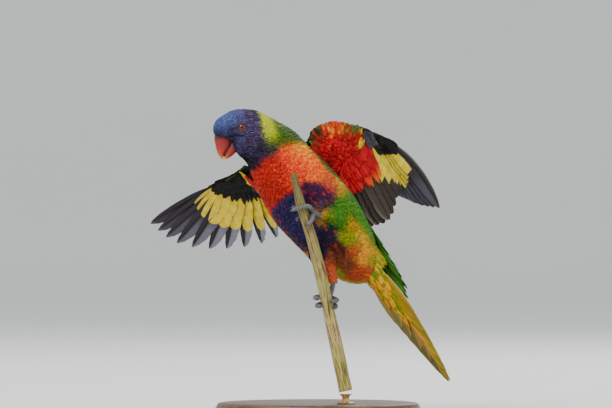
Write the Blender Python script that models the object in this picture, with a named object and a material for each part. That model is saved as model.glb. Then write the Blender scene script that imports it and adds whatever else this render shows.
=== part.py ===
"""Rainbow lorikeet, life size, climbing a cut palm stem with both wings raised, on a display stand.

The bird faces -Y with its belly to the stem. +X is to the right as one looks at the belly and +Z is up.
The origin is the centre of the underside of the stand's base. All lengths are in metres.
"""

import math

import bmesh
import bpy
import numpy as np

# Gaps and thicknesses
GAP = 0.0003
VANE_THICK = 0.0006

# Lie of the body: the tail points down to the right, and the belly is turned a little to the left
BODY_DORSAL = (0.366, 0.883, 0.291)
HEAD_FORWARD = (-0.965, -0.165, -0.205)
HEAD_UP = (-0.20, -0.03, 0.98)

# Body outline from tail root to forehead: X, Y, Z, half width, half depth to the back and to the belly,
# and the share by which the section has turned from the body's lie to the head's
BODY_STATIONS = (
    (0.0480, 0.000, 0.1235, 0.0150, 0.0100, 0.0120, 0.00),
    (0.0350, 0.000, 0.1310, 0.0235, 0.0165, 0.0205, 0.00),
    (0.0215, 0.000, 0.1445, 0.0295, 0.0235, 0.0265, 0.00),
    (0.0060, 0.000, 0.1645, 0.0335, 0.0280, 0.0290, 0.00),
    (-0.0127, 0.000, 0.1865, 0.0340, 0.0295, 0.0310, 0.00),
    (-0.0285, -0.001, 0.2080, 0.0295, 0.0270, 0.0280, 0.12),
    (-0.0432, -0.004, 0.2262, 0.0225, 0.0230, 0.0220, 0.50),
    (-0.0570, -0.007, 0.2370, 0.0185, 0.0215, 0.0205, 0.85),
    (-0.0675, -0.009, 0.2403, 0.0165, 0.0192, 0.0187, 1.00),
    (-0.0780, -0.011, 0.2410, 0.0138, 0.0153, 0.0152, 1.00),
    (-0.0850, -0.0123, 0.2418, 0.0092, 0.0098, 0.0082, 1.00),
    (-0.0888, -0.0130, 0.2420, 0.0034, 0.0038, 0.0030, 1.00),
)
TORSO_END = 5.30
NECK_END = 6.75
RINGS_PER_STATION = 3
BODY_SIDES = 24

# Eyes: place ahead of, above and beside the centre of the skull
EYE_AHEAD = -0.0015
EYE_RAISED = 0.0025
EYE_ASIDE = 0.0133
EYE_RADIUS = 0.0044
LID_RADIUS = 0.0038
LID_THICK = 0.0008

# Bill: distance ahead of and above the skull's centre, half thickness, half width
UPPER_BILL = (
    (0.0132, -0.0002, 0.0076, 0.0060),
    (0.0143, -0.0034, 0.0076, 0.0061),
    (0.0159, -0.0070, 0.0070, 0.0057),
    (0.0174, -0.0106, 0.0058, 0.0047),
    (0.0176, -0.0141, 0.0042, 0.0035),
    (0.0168, -0.0174, 0.0021, 0.0021),
    (0.0160, -0.0201, 0.0005, 0.0006),
)
LOWER_BILL = (
    (0.0029, -0.0097, 0.0040, 0.0050),
    (0.0072, -0.0138, 0.0033, 0.0049),
    (0.0100, -0.0168, 0.0024, 0.0040),
    (0.0122, -0.0189, 0.0014, 0.0026),
    (0.0136, -0.0200, 0.0005, 0.0011),
)
CERE_PLACE = (0.0175, 0.0008)
CERE_SIZE = (0.0040, 0.0054, 0.0026)
NOSTRIL_RADIUS = 0.0007
NOSTRIL_ASIDE = 0.0026

# Perch: a cut palm stem that leans a little, its centre line from the cut top end to the foot, and radius
STEM_Y = -0.045
STEM_LINE = (
    (-0.0206, 0.2035, 0.0026),
    (-0.0175, 0.1900, 0.0034),
    (-0.0140, 0.1760, 0.0042),
    (-0.0050, 0.1480, 0.0048),
    (0.0034, 0.1140, 0.0050),
    (0.0108, 0.0800, 0.0052),
    (0.0172, 0.0500, 0.0055),
    (0.0232, 0.0210, 0.0058),
)
STEM_SIDES = 14

# Stand: a round base, and a rod with a cup for the stem's foot
BASE_RADIUS = 0.088
BASE_HEIGHT = 0.010
BASE_BEVEL = 0.002
ROD_RADIUS = 0.0030

# Legs: the feathered thigh from the flank to the ankle, X, Y, Z, radius
THIGH_LEFT = (
    (0.0280, -0.0100, 0.1560, 0.0145),
    (0.0170, -0.0235, 0.1660, 0.0115),
    (0.0085, -0.0310, 0.1690, 0.0075),
    (0.0035, -0.0330, 0.1680, 0.0040),
)
THIGH_RIGHT = (
    (0.0020, -0.0120, 0.1420, 0.0130),
    (0.0050, -0.0240, 0.1320, 0.0105),
    (0.0095, -0.0300, 0.1215, 0.0070),
    (0.0125, -0.0325, 0.1140, 0.0042),
)
# Bare shank and toes, each a line of X, Y, Z, radius that ends where its claw begins
SHANK_LEFT = (
    (0.0032, -0.0333, 0.1672, 0.0023),
    (-0.0010, -0.0365, 0.1700, 0.0022),
    (-0.0052, -0.0405, 0.1712, 0.0025),
)
TOES_LEFT = {
    "outer": ((-0.0052, -0.0405, 0.1722), (-0.0072, -0.0480, 0.1758), (-0.0108, -0.0518, 0.1765),
              (-0.0165, -0.0515, 0.1750), (-0.0215, -0.0495, 0.1735)),
    "inner": ((-0.0050, -0.0410, 0.1700), (-0.0048, -0.0470, 0.1672), (-0.0058, -0.0512, 0.1640),
              (-0.0092, -0.0525, 0.1608)),
    "hind": ((-0.0058, -0.0392, 0.1722), (-0.0105, -0.0368, 0.1742), (-0.0165, -0.0368, 0.1752),
             (-0.0212, -0.0405, 0.1757)),
    "thumb": ((-0.0060, -0.0395, 0.1695), (-0.0095, -0.0368, 0.1680), (-0.0145, -0.0370, 0.1668),
              (-0.0178, -0.0405, 0.1655)),
}
SHANK_RIGHT = (
    (0.0128, -0.0328, 0.1133, 0.0023),
    (0.0115, -0.0335, 0.1060, 0.0022),
    (0.0090, -0.0360, 0.1000, 0.0025),
)
TOES_RIGHT = {
    "outer": ((0.0085, -0.0365, 0.1003), (0.0035, -0.0368, 0.1005), (-0.0015, -0.0400, 0.1000),
              (-0.0025, -0.0460, 0.0995), (0.0000, -0.0508, 0.0990)),
    "inner": ((0.0085, -0.0368, 0.0985), (0.0045, -0.0372, 0.0950), (0.0000, -0.0405, 0.0935),
              (-0.0008, -0.0462, 0.0928), (0.0020, -0.0512, 0.0925)),
    "hind": ((0.0095, -0.0365, 0.1000), (0.0138, -0.0385, 0.0985), (0.0158, -0.0435, 0.0975),
             (0.0142, -0.0490, 0.0968), (0.0115, -0.0520, 0.0965)),
    "thumb": ((0.0092, -0.0368, 0.0985), (0.0130, -0.0390, 0.0945), (0.0150, -0.0440, 0.0922),
              (0.0138, -0.0490, 0.0915)),
}
TOE_RADIUS = (0.0021, 0.0016)
CLAW_LENGTH = 0.0065
CLAW_RADIUS = 0.0012
CLAW_STEPS = 4

# Tail: lie, length of each pair of feathers from the middle pair outwards, and how the pairs spread and stack
TAIL_ALONG = (0.556, 0.0, -0.831)
TAIL_DORSAL = (0.533, 0.766, 0.359)
TAIL_LENGTHS = (0.115, 0.106, 0.093, 0.080, 0.067, 0.055)
TAIL_SPREAD = 0.0016
TAIL_FAN = 0.0095
TAIL_LAYER = 0.0009
TAIL_WIDTH = 0.0125
TAIL_CORE = 0.030
# Tail coverts, tier by tier: how many, where the roots and tips lie along the tail and below its plane,
# the spread of the roots and the width of one feather
UNDER_TAIL_TIERS = (
    (3, 0.004, 0.056, 0.0075, 0.0055, 0.0055, 0.0120),
    (4, -0.002, 0.033, 0.0105, 0.0085, 0.0095, 0.0125),
)
UPPER_TAIL_TIERS = (
    (4, -0.014, 0.031, -0.0090, -0.0068, 0.0105, 0.0125),
    (4, -0.028, 0.010, -0.0150, -0.0115, 0.0150, 0.0140),
)

# Wings, left first: the joints, how each feather lies from the tenth primary to the tenth secondary
WINGS = {
    "left": {
        "lead": 1.0,
        "edge": ((-0.0085, 0.000, 0.2345), (-0.0035, 0.005, 0.2450), (0.0120, 0.012, 0.2500),
                 (0.0275, 0.020, 0.2475), (0.0400, 0.028, 0.2430)),
        "rear": ((0.0030, 0.010, 0.2110), (0.0145, 0.015, 0.2000), (0.0235, 0.018, 0.2050),
                 (0.0330, 0.022, 0.2175), (0.0410, 0.028, 0.2330)),
        "elbow": (0.0195, 0.0170, 0.2025),
        "wrist": (0.0374, 0.0280, 0.2405),
        "hand": (0.602, 0.772, -0.201),
        "dorsal_arm": (-0.57, 0.82, 0.02),
        "dorsal_hand": (-0.61, 0.61, 0.51),
        "primaries": ((0.344, 0.699, -0.626), (0.310, 0.790, -0.530), (0.333, 0.809, -0.485),
                      (0.400, 0.778, -0.484)),
        "secondaries": ((0.425, 0.560, -0.711), (0.425, 0.365, -0.830), (0.370, 0.300, -0.880),
                        (0.300, 0.250, -0.920)),
        "bow": (0.0, 0.02, 0.04, 0.055),
        "roll": 0.20,
    },
    "right": {
        "lead": -1.0,
        "edge": ((-0.0440, 0.016, 0.2060), (-0.0520, 0.028, 0.2110), (-0.0570, 0.038, 0.2125),
                 (-0.0625, 0.048, 0.2115), (-0.0660, 0.0545, 0.2085)),
        "rear": ((-0.0270, 0.034, 0.1870), (-0.0220, 0.047, 0.1800), (-0.0250, 0.056, 0.1780),
                 (-0.0410, 0.058, 0.1885), (-0.0570, 0.060, 0.2000)),
        "elbow": (-0.0265, 0.0535, 0.1810),
        "wrist": (-0.0620, 0.0560, 0.2050),
        "hand": (-0.582, 0.783, -0.221),
        "dorsal_arm": (0.315, 0.475, 0.82),
        "dorsal_hand": (0.315, 0.475, 0.82),
        "primaries": ((0.331, 0.679, -0.655), (-0.105, 0.795, -0.597), (-0.412, 0.797, -0.444),
                      (-0.558, 0.784, -0.271)),
        "secondaries": ((0.400, 0.680, -0.614), (0.500, 0.610, -0.615), (0.620, 0.540, -0.570),
                        (0.720, 0.450, -0.530)),
        "bow": (0.0, 0.0, 0.005, 0.015),
        "roll": 0.14,
    },
}
HAND_LENGTH = 0.027
ARM_STEPS = 8
ARM_THICK = (0.0042, 0.0028)
PRIMARIES = 10
SECONDARIES = 10
PRIMARY_LENGTHS = (0.082, 0.101, 0.118, 0.118)
SECONDARY_LENGTHS = (0.074, 0.073, 0.062, 0.050)
DROOP = 0.02
FEATHER_STEP = 0.0003
ROOT_SUNK = 0.004
# Outline of a feather: share of its length, and the outer and inner half widths as shares of its width
PRIMARY_OUTLINE = ((0.0, 0.20, 0.24), (0.40, 0.26, 0.60), (0.84, 0.19, 0.46), (1.0, 0.03, 0.06))
SECONDARY_OUTLINE = ((0.0, 0.20, 0.24), (0.45, 0.34, 0.60), (0.90, 0.30, 0.52), (1.0, 0.06, 0.10))
COVERT_OUTLINE = ((0.0, 0.34, 0.34), (0.66, 0.50, 0.50), (1.0, 0.12, 0.12))
TAIL_OUTLINE = ((0.0, 0.34, 0.34), (0.55, 0.44, 0.50), (0.88, 0.30, 0.36), (1.0, 0.04, 0.05))
PRIMARY_WIDTH = 0.0165
SECONDARY_WIDTH = 0.0160
# Covert tiers over the flight feathers: the side they lie on (1 above, -1 below), which flight feathers carry
# them and every how many has one, root and tip along those feathers, height of root and tip off them,
# and width
COVERT_TIERS = (
    (-1, 0, 10, 3, -0.002, 0.034, 0.0040, 0.0034, 0.0160),
    (-1, 10, 19, 3, -0.003, 0.036, 0.0050, 0.0036, 0.0170),
    (1, 0, 10, 3, -0.002, 0.036, 0.0032, 0.0032, 0.0170),
    (1, 10, 19, 3, -0.003, 0.034, 0.0050, 0.0036, 0.0180),
)

COLOURS = {
    "blue": (0.08, 0.09, 0.42),
    "green": (0.10, 0.30, 0.05),
    "red": (0.70, 0.07, 0.03),
    "yellow": (0.75, 0.62, 0.10),
    "slate": (0.06, 0.055, 0.065),
    "bill": (0.80, 0.13, 0.05),
    "iris": (0.55, 0.05, 0.02),
    "skin": (0.20, 0.20, 0.23),
    "stem": (0.45, 0.40, 0.22),
    "wood": (0.30, 0.18, 0.09),
    "brass": (0.60, 0.45, 0.20),
}


def unit(v):
    v = np.asarray(v, float)
    return v / np.linalg.norm(v)


def square_to(v, axis):
    """v with its share along axis taken out, made unit length."""
    v = np.asarray(v, float)
    return unit(v - np.dot(v, axis) * axis)


def smooth(rows, at):
    """The Catmull-Rom curve through rows, whose parameters are 0, 1, 2 and so on, read at the value at."""
    rows = np.asarray(rows, float)
    ends = np.vstack([2 * rows[0] - rows[1], rows, 2 * rows[-1] - rows[-2]])
    i = int(min(max(math.floor(at), 0), len(rows) - 2))
    t = at - i
    a, b, c, d = ends[i : i + 4]
    return 0.5 * (2 * b + (c - a) * t + (2 * a - 5 * b + 4 * c - d) * t**2 + (3 * b - a - 3 * c + d) * t**3)


def spread(rows, share):
    """The smooth curve through rows, read at a share from 0 to 1 of its whole run."""
    return smooth(rows, share * (len(rows) - 1))


def material(name, roughness=0.7, metallic=0.0):
    made = bpy.data.materials.get(name) or bpy.data.materials.new(name)
    made.use_nodes = True
    shader = made.node_tree.nodes["Principled BSDF"]
    shader.inputs["Base Color"].default_value = (*COLOURS[name], 1.0)
    shader.inputs["Roughness"].default_value = roughness
    shader.inputs["Metallic"].default_value = metallic
    return made


def closed_object(name, points, faces, colour, roughness=0.7, metallic=0.0):
    """A mesh object from points and faces, with its faces turned outwards and shaded smooth."""
    mesh = bpy.data.meshes.new(name)
    mesh.from_pydata([tuple(p) for p in points], [], faces)
    sides = bmesh.new()
    sides.from_mesh(mesh)
    bmesh.ops.remove_doubles(sides, verts=sides.verts, dist=1e-7)
    bmesh.ops.recalc_face_normals(sides, faces=sides.faces)
    sides.to_mesh(mesh)
    sides.free()
    mesh.materials.append(material(colour, roughness, metallic))
    mesh.shade_smooth()
    mesh.set_sharp_from_angle(angle=math.radians(40))
    made = bpy.data.objects.new(name, mesh)
    bpy.context.scene.collection.objects.link(made)
    return made


def loft(rings):
    """Points and triangles of a closed body: equal rings joined in turn, each end closed by a fan."""
    count = len(rings[0])
    points = [p for ring in rings for p in ring]
    faces = []
    for r in range(len(rings) - 1):
        for k in range(count):
            a, b = r * count + k, r * count + (k + 1) % count
            faces += [(a, b, b + count), (a, b + count, a + count)]
    for first, ring in ((0, rings[0]), ((len(rings) - 1) * count, rings[-1])):
        centre = len(points)
        points.append(np.mean(ring, axis=0))
        faces += [(first + k, first + (k + 1) % count, centre) for k in range(count)]
    return points, faces


def oval(centre, across, up, half_across, half_up, sides):
    """Points of an ellipse round centre."""
    turns = np.arange(sides) * 2 * math.pi / sides
    return [centre + across * half_across * math.cos(t) + up * half_up * math.sin(t) for t in turns]


def tube_rings(line, sides=12):
    """Rings square to a line of X, Y, Z, radius rows."""
    rows = np.asarray(line, float)
    rings = []
    up = np.array([0.12, -0.31, 0.94])
    for i, row in enumerate(rows):
        ahead = rows[min(i + 1, len(rows) - 1)][:3] - rows[max(i - 1, 0)][:3]
        ahead = unit(ahead)
        up = square_to(up, ahead)
        rings.append(oval(row[:3], np.cross(ahead, up), up, row[3], row[3], sides))
    return rings


def refined(line, per_step):
    """More rows along the smooth curve through line."""
    count = (len(line) - 1) * per_step
    return [smooth(line, i / per_step) for i in range(count + 1)]


def take_largest(obj):
    """Leaves only the largest closed surface of a mesh object."""
    work = bmesh.new()
    work.from_mesh(obj.data)
    left = set(work.verts)
    groups = []
    while left:
        stack = [left.pop()]
        group = set(stack)
        while stack:
            for edge in stack.pop().link_edges:
                for vert in edge.verts:
                    if vert in left:
                        left.discard(vert)
                        group.add(vert)
                        stack.append(vert)
        groups.append(group)
    size = {id(g): sum(f.calc_area() for f in {f for v in g for f in v.link_faces}) for g in groups}
    groups.sort(key=lambda g: size[id(g)])
    drop = [v for g in groups[:-1] for v in g]
    bmesh.ops.delete(work, geom=drop, context="VERTS")
    bmesh.ops.triangulate(work, faces=work.faces)
    work.to_mesh(obj.data)
    work.free()


def apply_modifiers(obj):
    graph = bpy.context.evaluated_depsgraph_get()
    baked = bpy.data.meshes.new_from_object(obj.evaluated_get(graph))
    obj.modifiers.clear()
    obj.data = baked


def joined(core, pieces, operation="UNION"):
    """core with the closed pieces joined to it or cut from it by one Boolean. The pieces then go."""
    group = bpy.data.collections.new(core.name + "_pieces")
    bpy.context.scene.collection.children.link(group)
    for piece in pieces:
        bpy.context.scene.collection.objects.unlink(piece)
        group.objects.link(piece)
    step = core.modifiers.new("join", "BOOLEAN")
    step.operation = operation
    step.operand_type = "COLLECTION"
    step.collection = group
    step.solver = "MANIFOLD"
    bpy.context.view_layer.update()
    apply_modifiers(core)
    for piece in pieces:
        bpy.data.objects.remove(piece)
    bpy.data.collections.remove(group)
    take_largest(core)
    return core


# The body's own surface


def body_section(at):
    """Centre, headward, left and dorsal axes, and half sizes of the body at a place along its stations."""
    row = smooth(BODY_STATIONS, at)
    ahead = unit(smooth(BODY_STATIONS, min(at + 0.05, 11))[:3] - smooth(BODY_STATIONS, max(at - 0.05, 0))[:3])
    turn = min(max(row[6], 0.0), 1.0)
    dorsal = square_to((1 - turn) * np.array(BODY_DORSAL) + turn * np.array(HEAD_UP), ahead)
    return row[:3], ahead, np.cross(dorsal, ahead), dorsal, row[3:6]


def body_ring(at, grow=0.0):
    """The body's outline at a place along it: deeper to the belly or back as its half sizes say."""
    centre, _, left, dorsal, (wide, back, belly) = body_section(at)
    ring = []
    for k in range(BODY_SIDES):
        turn = 2 * math.pi * k / BODY_SIDES
        depth = back if math.cos(turn) > 0 else belly
        ring.append(centre + left * (wide + grow) * math.sin(turn) + dorsal * (depth + grow) * math.cos(turn))
    return ring


def body_length(name, first, last, colour, grow=0.0):
    """A length of the body, or with grow a cutter that stands that far outside it, at its ends too."""
    steps = max(2, round((last - first) * RINGS_PER_STATION))
    rings = [body_ring(first + (last - first) * i / steps, grow) for i in range(steps + 1)]
    for ring, at, way in ((rings[0], first, -1), (rings[-1], last, 1)):
        shift = body_section(at)[1] * way * grow
        ring[:] = [p + shift for p in ring]
    return closed_object(name, *loft(rings), colour)


def station_gap(at):
    """The gap between two lengths of the body, in stations."""
    step = 0.01
    run = np.linalg.norm(smooth(BODY_STATIONS, at + step)[:3] - smooth(BODY_STATIONS, at)[:3])
    return 1.5 * GAP * step / run


# The head's frame, with its origin at the skull's centre

SKULL = np.array(BODY_STATIONS[8][:3])
FORWARD = unit(HEAD_FORWARD)
UP = square_to(HEAD_UP, FORWARD)
LEFT = np.cross(UP, FORWARD)


def head_point(ahead, up, left):
    return SKULL + FORWARD * ahead + UP * up + LEFT * left


def ball(name, centre, radii, axes, colour, rows=8, sides=16, roughness=0.7):
    """A closed ellipsoid on the three axes."""
    rings = []
    for i in range(1, rows):
        turn = math.pi * i / rows
        middle = centre + axes[2] * radii[2] * math.cos(turn)
        size = math.sin(turn)
        rings.append(oval(middle, axes[0], axes[1], radii[0] * size, radii[1] * size, sides))
    points, faces = loft(rings)
    points[-2] = centre + axes[2] * radii[2]
    points[-1] = centre - axes[2] * radii[2]
    return closed_object(name, points, faces, colour, roughness)


def bill_half(name, sections, grow=0.0, sides=12):
    """One half of the bill: oval sections square to its own curve, in the head's middle plane."""
    rows = [smooth(sections, i / 2) for i in range((len(sections) - 1) * 2 + 1)]
    rings = []
    for i, (ahead, up, thick, wide) in enumerate(rows):
        step = np.array(rows[min(i + 1, len(rows) - 1)][:2]) - np.array(rows[max(i - 1, 0)][:2])
        run = unit(FORWARD * step[0] + UP * step[1])
        across = np.cross(LEFT, run)
        rings.append(oval(head_point(ahead, up, 0), LEFT, across, wide + grow, thick + grow, sides))
    return closed_object(name, *loft(rings), "bill", 0.3)


def ring_solid(name, centre, axis, radius, thick, colour, sides=16, around=5):
    """A plain ring, for an eyelid."""
    across = square_to(UP, axis)
    up = np.cross(axis, across)
    points, faces = [], []
    for i in range(sides):
        t = 2 * math.pi * i / sides
        out = across * math.cos(t) + up * math.sin(t)
        for j in range(around):
            s = 2 * math.pi * j / around
            points.append(centre + out * (radius + thick * math.cos(s)) + axis * thick * math.sin(s))
    for i in range(sides):
        for j in range(around):
            a, b = i * around + j, ((i + 1) % sides) * around + j
            c, d = i * around + (j + 1) % around, ((i + 1) % sides) * around + (j + 1) % around
            faces += [(a, b, d), (a, d, c)]
    return closed_object(name, points, faces, colour)


def make_head():
    head = body_length("head", NECK_END + station_gap(NECK_END), 11, "blue")
    axes = (LEFT, UP, FORWARD)
    cere = ball("cere", head_point(*CERE_PLACE, 0), (CERE_SIZE[1], CERE_SIZE[2], CERE_SIZE[0]), axes, "skin")
    extra = [cere]
    for sign in (1, -1):
        looking = unit(LEFT * sign + FORWARD * 0.18 + UP * 0.08)
        place = head_point(EYE_AHEAD, EYE_RAISED, sign * EYE_ASIDE) + looking * 0.0019
        extra.append(ring_solid("lid", place, looking, LID_RADIUS, LID_THICK, "skin"))
    joined(head, extra)
    cuts = []
    for sign in (1, -1):
        eye = head_point(EYE_AHEAD, EYE_RAISED, sign * EYE_ASIDE)
        cuts.append(ball("socket", eye, [EYE_RADIUS + GAP] * 3, axes, "skin", 8, 16))
        nostril = head_point(CERE_PLACE[0] + 0.002, CERE_PLACE[1] + 0.0018, sign * NOSTRIL_ASIDE)
        radii = (NOSTRIL_RADIUS * 2, NOSTRIL_RADIUS, NOSTRIL_RADIUS * 2)
        cuts.append(ball("nostril", nostril, radii, axes, "skin", 4, 8))
    joined(head, cuts, "DIFFERENCE")
    return head


def make_eyes():
    axes = (UP, FORWARD, LEFT)
    for side, sign in (("left", 1), ("right", -1)):
        eye = head_point(EYE_AHEAD, EYE_RAISED, sign * EYE_ASIDE)
        ball("eye_" + side, eye, [EYE_RADIUS] * 3, axes, "iris", 8, 16, 0.1)


def make_bill():
    upper = bill_half("bill_upper", UPPER_BILL)
    lower = bill_half("bill_lower", LOWER_BILL)
    for half in (upper, lower):
        axes = (LEFT, UP, FORWARD)
        cere = ball("cere_cut", head_point(*CERE_PLACE, 0),
                    (CERE_SIZE[1] + GAP, CERE_SIZE[2] + GAP, CERE_SIZE[0] + GAP), axes, "skin")
        joined(half, [body_length("head_cut", 7.6, 11, "blue", GAP), cere], "DIFFERENCE")
    joined(lower, [bill_half("upper_cut", UPPER_BILL, GAP)], "DIFFERENCE")


# Stem, stand and feet


def stem_solid(name, grow=0.0):
    rows = [(x, STEM_Y, z, r + grow) for x, z, r in STEM_LINE]
    return closed_object(name, *loft(tube_rings(rows, STEM_SIDES)), "stem")


def turned(name, profile, centre_x, centre_y, sides, colour, roughness=0.5, metallic=0.0):
    """A body of revolution about an upright axis, from a profile of radius and height."""
    rings = [oval(np.array([centre_x, centre_y, z]), np.array([1.0, 0, 0]), np.array([0, 1.0, 0]),
                  r, r, sides)
             for r, z in profile]
    return closed_object(name, *loft(rings), colour, roughness, metallic)


def make_stand():
    base = [(BASE_RADIUS - BASE_BEVEL, 0.0), (BASE_RADIUS, BASE_BEVEL),
            (BASE_RADIUS, BASE_HEIGHT - BASE_BEVEL),
            (BASE_RADIUS - BASE_BEVEL, BASE_HEIGHT)]
    turned("stand_base", base, 0.0, 0.0, 40, "wood")
    foot_x, foot_z, foot_radius = STEM_LINE[-1]
    bottom = foot_z - 0.0025
    rod = [(0.0075, BASE_HEIGHT + GAP), (0.0075, BASE_HEIGHT + 0.0015), (ROD_RADIUS, BASE_HEIGHT + 0.0025),
           (ROD_RADIUS, bottom - 0.0020), (foot_radius, bottom)]
    turned("stand_rod", rod, foot_x, STEM_Y, 16, "brass", 0.3, 1.0)


def toe_rows(line):
    """A toe's line with its radius, thick at the palm and slim at the claw, swollen at each pad."""
    rows = refined([(*p, 0.0) for p in line], 2)
    last = len(rows) - 1
    for i, row in enumerate(rows):
        share = i / last
        row[3] = TOE_RADIUS[0] * (1 - share) + TOE_RADIUS[1] * share
    return rows


def claw_rows(line, inward):
    """A claw that goes on from the toe's end and hooks inwards."""
    rows = toe_rows(line)
    end = rows[-1][:3]
    ahead = unit(end - rows[-2][:3])
    hook = square_to(inward - end, ahead)
    made = []
    for i in range(CLAW_STEPS + 1):
        share = i / CLAW_STEPS
        reach = CLAW_LENGTH * share
        place = end + ahead * (1.2 * GAP + 0.75 * reach * (1 - 0.35 * share)) + hook * 0.45 * reach * share
        made.append((*place, CLAW_RADIUS * (1 - 0.85 * share)))
    return made


def thigh_solid(name, line, colour, grow=0.0):
    """The feathered thigh, or with grow a cutter that stands that far outside it, at its ends too."""
    rows = refined([(x, y, z, r + grow) for x, y, z, r in line], 3)
    rows[0][:3] += unit(rows[0][:3] - rows[1][:3]) * grow
    rows[-1][:3] += unit(rows[-1][:3] - rows[-2][:3]) * grow
    return closed_object(name, *loft(tube_rings(rows, 16)), colour)


def make_foot(side, shank, toes, thigh):
    foot = closed_object("foot_" + side, *loft(tube_rings(refined(shank, 3), 10)), "skin", 0.6)
    pieces = []
    for name, line in toes.items():
        pieces.append(closed_object("toe", *loft(tube_rings(toe_rows(line), 6)), "skin", 0.6))
        height = line[-1][2]
        stem = np.array([np.interp(height, [z for _, z, _ in STEM_LINE[::-1]],
                                   [x for x, _, _ in STEM_LINE[::-1]]),
                         STEM_Y, height])
        closed_object(f"claw_{side}_{name}", *loft(tube_rings(claw_rows(line, stem), 6)), "slate", 0.4)
    joined(foot, pieces)
    joined(foot, [stem_solid("stem_cut", GAP), thigh_solid("thigh_cut", thigh, "red", GAP)], "DIFFERENCE")
    return foot


def make_thigh(side, line, colour):
    thigh = thigh_solid("thigh_" + side, line, colour)
    joined(thigh, [body_length("torso_cut", 0, TORSO_END, "red", GAP)], "DIFFERENCE")
    return thigh


# Feathers


def grid_solid(name, top, bottom, colour):
    """A closed plate between two grids of points, split into triangles alike on both faces."""
    rows, columns = len(top), len(top[0])
    points = [p for row in top for p in row] + [p for row in bottom for p in row]
    under = rows * columns
    faces = []
    for r in range(rows - 1):
        for c in range(columns - 1):
            a, b = r * columns + c, r * columns + c + 1
            d, e = a + columns, b + columns
            faces += [(a, b, e), (a, e, d)]
            faces += [(a + under, e + under, b + under), (a + under, d + under, e + under)]
    rim = [r * columns for r in range(rows)] + [(rows - 1) * columns + c for c in range(1, columns)]
    rim += [r * columns + columns - 1 for r in range(rows - 2, -1, -1)]
    rim += list(range(columns - 2, 0, -1))
    for a, b in zip(rim, rim[1:] + rim[:1]):
        faces += [(a, b, b + under), (a, b + under, a + under)]
    return closed_object(name, points, faces, colour)


def flight_lie(wing):
    """Root, direction, back-facing normal, length and sideways bow of each flight feather.

    The order runs from the tenth primary at the hand's end to the first at the wrist, then from the first
    secondary at the wrist to the tenth at the elbow.
    """
    lies = []
    wrist, elbow = np.array(wing["wrist"]), np.array(wing["elbow"])
    for k in range(PRIMARIES - 1, -1, -1):
        share = k / (PRIMARIES - 1)
        root = wrist + unit(wing["hand"]) * HAND_LENGTH * share
        lies.append((root, spread(wing["primaries"], share), wing["dorsal_hand"],
                     spread_number(PRIMARY_LENGTHS, share), spread_number(wing["bow"], share)))
    for k in range(SECONDARIES):
        share = k / (SECONDARIES - 1)
        root = wrist + (elbow - wrist) * (0.08 + 0.92 * share)
        blend = min(1.0, 0.3 + 1.4 * share)
        dorsal = (1 - blend) * np.array(wing["dorsal_hand"]) + blend * np.array(wing["dorsal_arm"])
        lies.append((root, spread(wing["secondaries"], share), dorsal,
                     spread_number(SECONDARY_LENGTHS, share), 0.0))
    return [(root, unit(along), square_to(dorsal, unit(along)), length, bow)
            for root, along, dorsal, length, bow in lies]


def spread_number(row, share):
    return float(spread([(value,) for value in row], share)[0])


def feather(outline, root, along, dorsal, outer, length, width, droop=0.0, bow=0.0, start=0.0,
            lift=(0.0, 0.0),
            grow=0.0):
    """One closed vane, its shaft higher than its edges.

    outline gives the half widths along it, outer is the direction of the leading edge, droop and bow bend
    it downwards and towards the leading edge, start is where its root lies along the line, and lift raises
    its root and tip off the plane. With grow it is a cutter that stands that far outside the vane.
    """
    top, bottom = [], []
    for share, outside, inside in outline:
        reach = start + (length - start) * share + grow * (2 * share - 1)
        whole = reach / length
        middle = root + along * reach + outer * bow * length * 4 * whole * (1 - whole)
        middle = middle + dorsal * (lift[0] * (1 - share) + lift[1] * share - droop * length * whole * whole)
        low = dorsal * 0.035 * width
        edges = (middle + outer * (outside * width + grow) - low, middle,
                 middle - outer * (inside * width + grow) - low)
        top.append([p + dorsal * (VANE_THICK / 2 + grow) for p in edges])
        bottom.append([p - dorsal * (VANE_THICK / 2 + grow) for p in edges])
    return grid_solid("vane", top, bottom, "slate")


def rolled(dorsal, outer, turn):
    """The two axes turned about the shaft, the leading edge going to the back of the wing."""
    return (dorsal * math.cos(turn) - outer * math.sin(turn),
            outer * math.cos(turn) + dorsal * math.sin(turn))


def flight_feathers(wing):
    vanes = []
    for index, (root, along, dorsal, length, bow) in enumerate(flight_lie(wing)):
        outer = np.cross(along, dorsal) * wing["lead"]
        dorsal, outer = rolled(dorsal, outer, wing["roll"])
        primary = index < PRIMARIES
        outline = PRIMARY_OUTLINE if primary else SECONDARY_OUTLINE
        width = PRIMARY_WIDTH if primary else SECONDARY_WIDTH
        step = -FEATHER_STEP * (PRIMARIES - index)
        vanes.append(feather(outline, root, along, dorsal, outer, length, width, DROOP, bow, -ROOT_SUNK,
                             (step * 0.6, step * 1.6)))
    return vanes


def covert_feathers(wing):
    """Each tier's feathers lie between the shafts of the flight feathers that they cover."""
    lies = flight_lie(wing)
    vanes = []
    for side, first, last, each, root_at, tip_at, root_up, tip_up, width in COVERT_TIERS:
        for index in range(first, last, each):
            near, far = lies[index], lies[min(index + 1, len(lies) - 1)]
            root = (near[0] + far[0]) / 2
            along = unit(near[1] + far[1])
            dorsal = square_to(near[2] + far[2], along)
            outer = np.cross(along, dorsal) * wing["lead"]
            dorsal, outer = rolled(dorsal, outer, wing["roll"] * 0.9)
            index_step = -FEATHER_STEP * (PRIMARIES - index - 0.5)
            lift = (side * root_up + index_step * 0.6, side * tip_up + index_step * 0.9)
            vanes.append(feather(COVERT_OUTLINE, root, along, dorsal, outer, tip_at, width, DROOP,
                                 near[4] * 0.5,
                                 root_at, lift))
    return vanes


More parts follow.
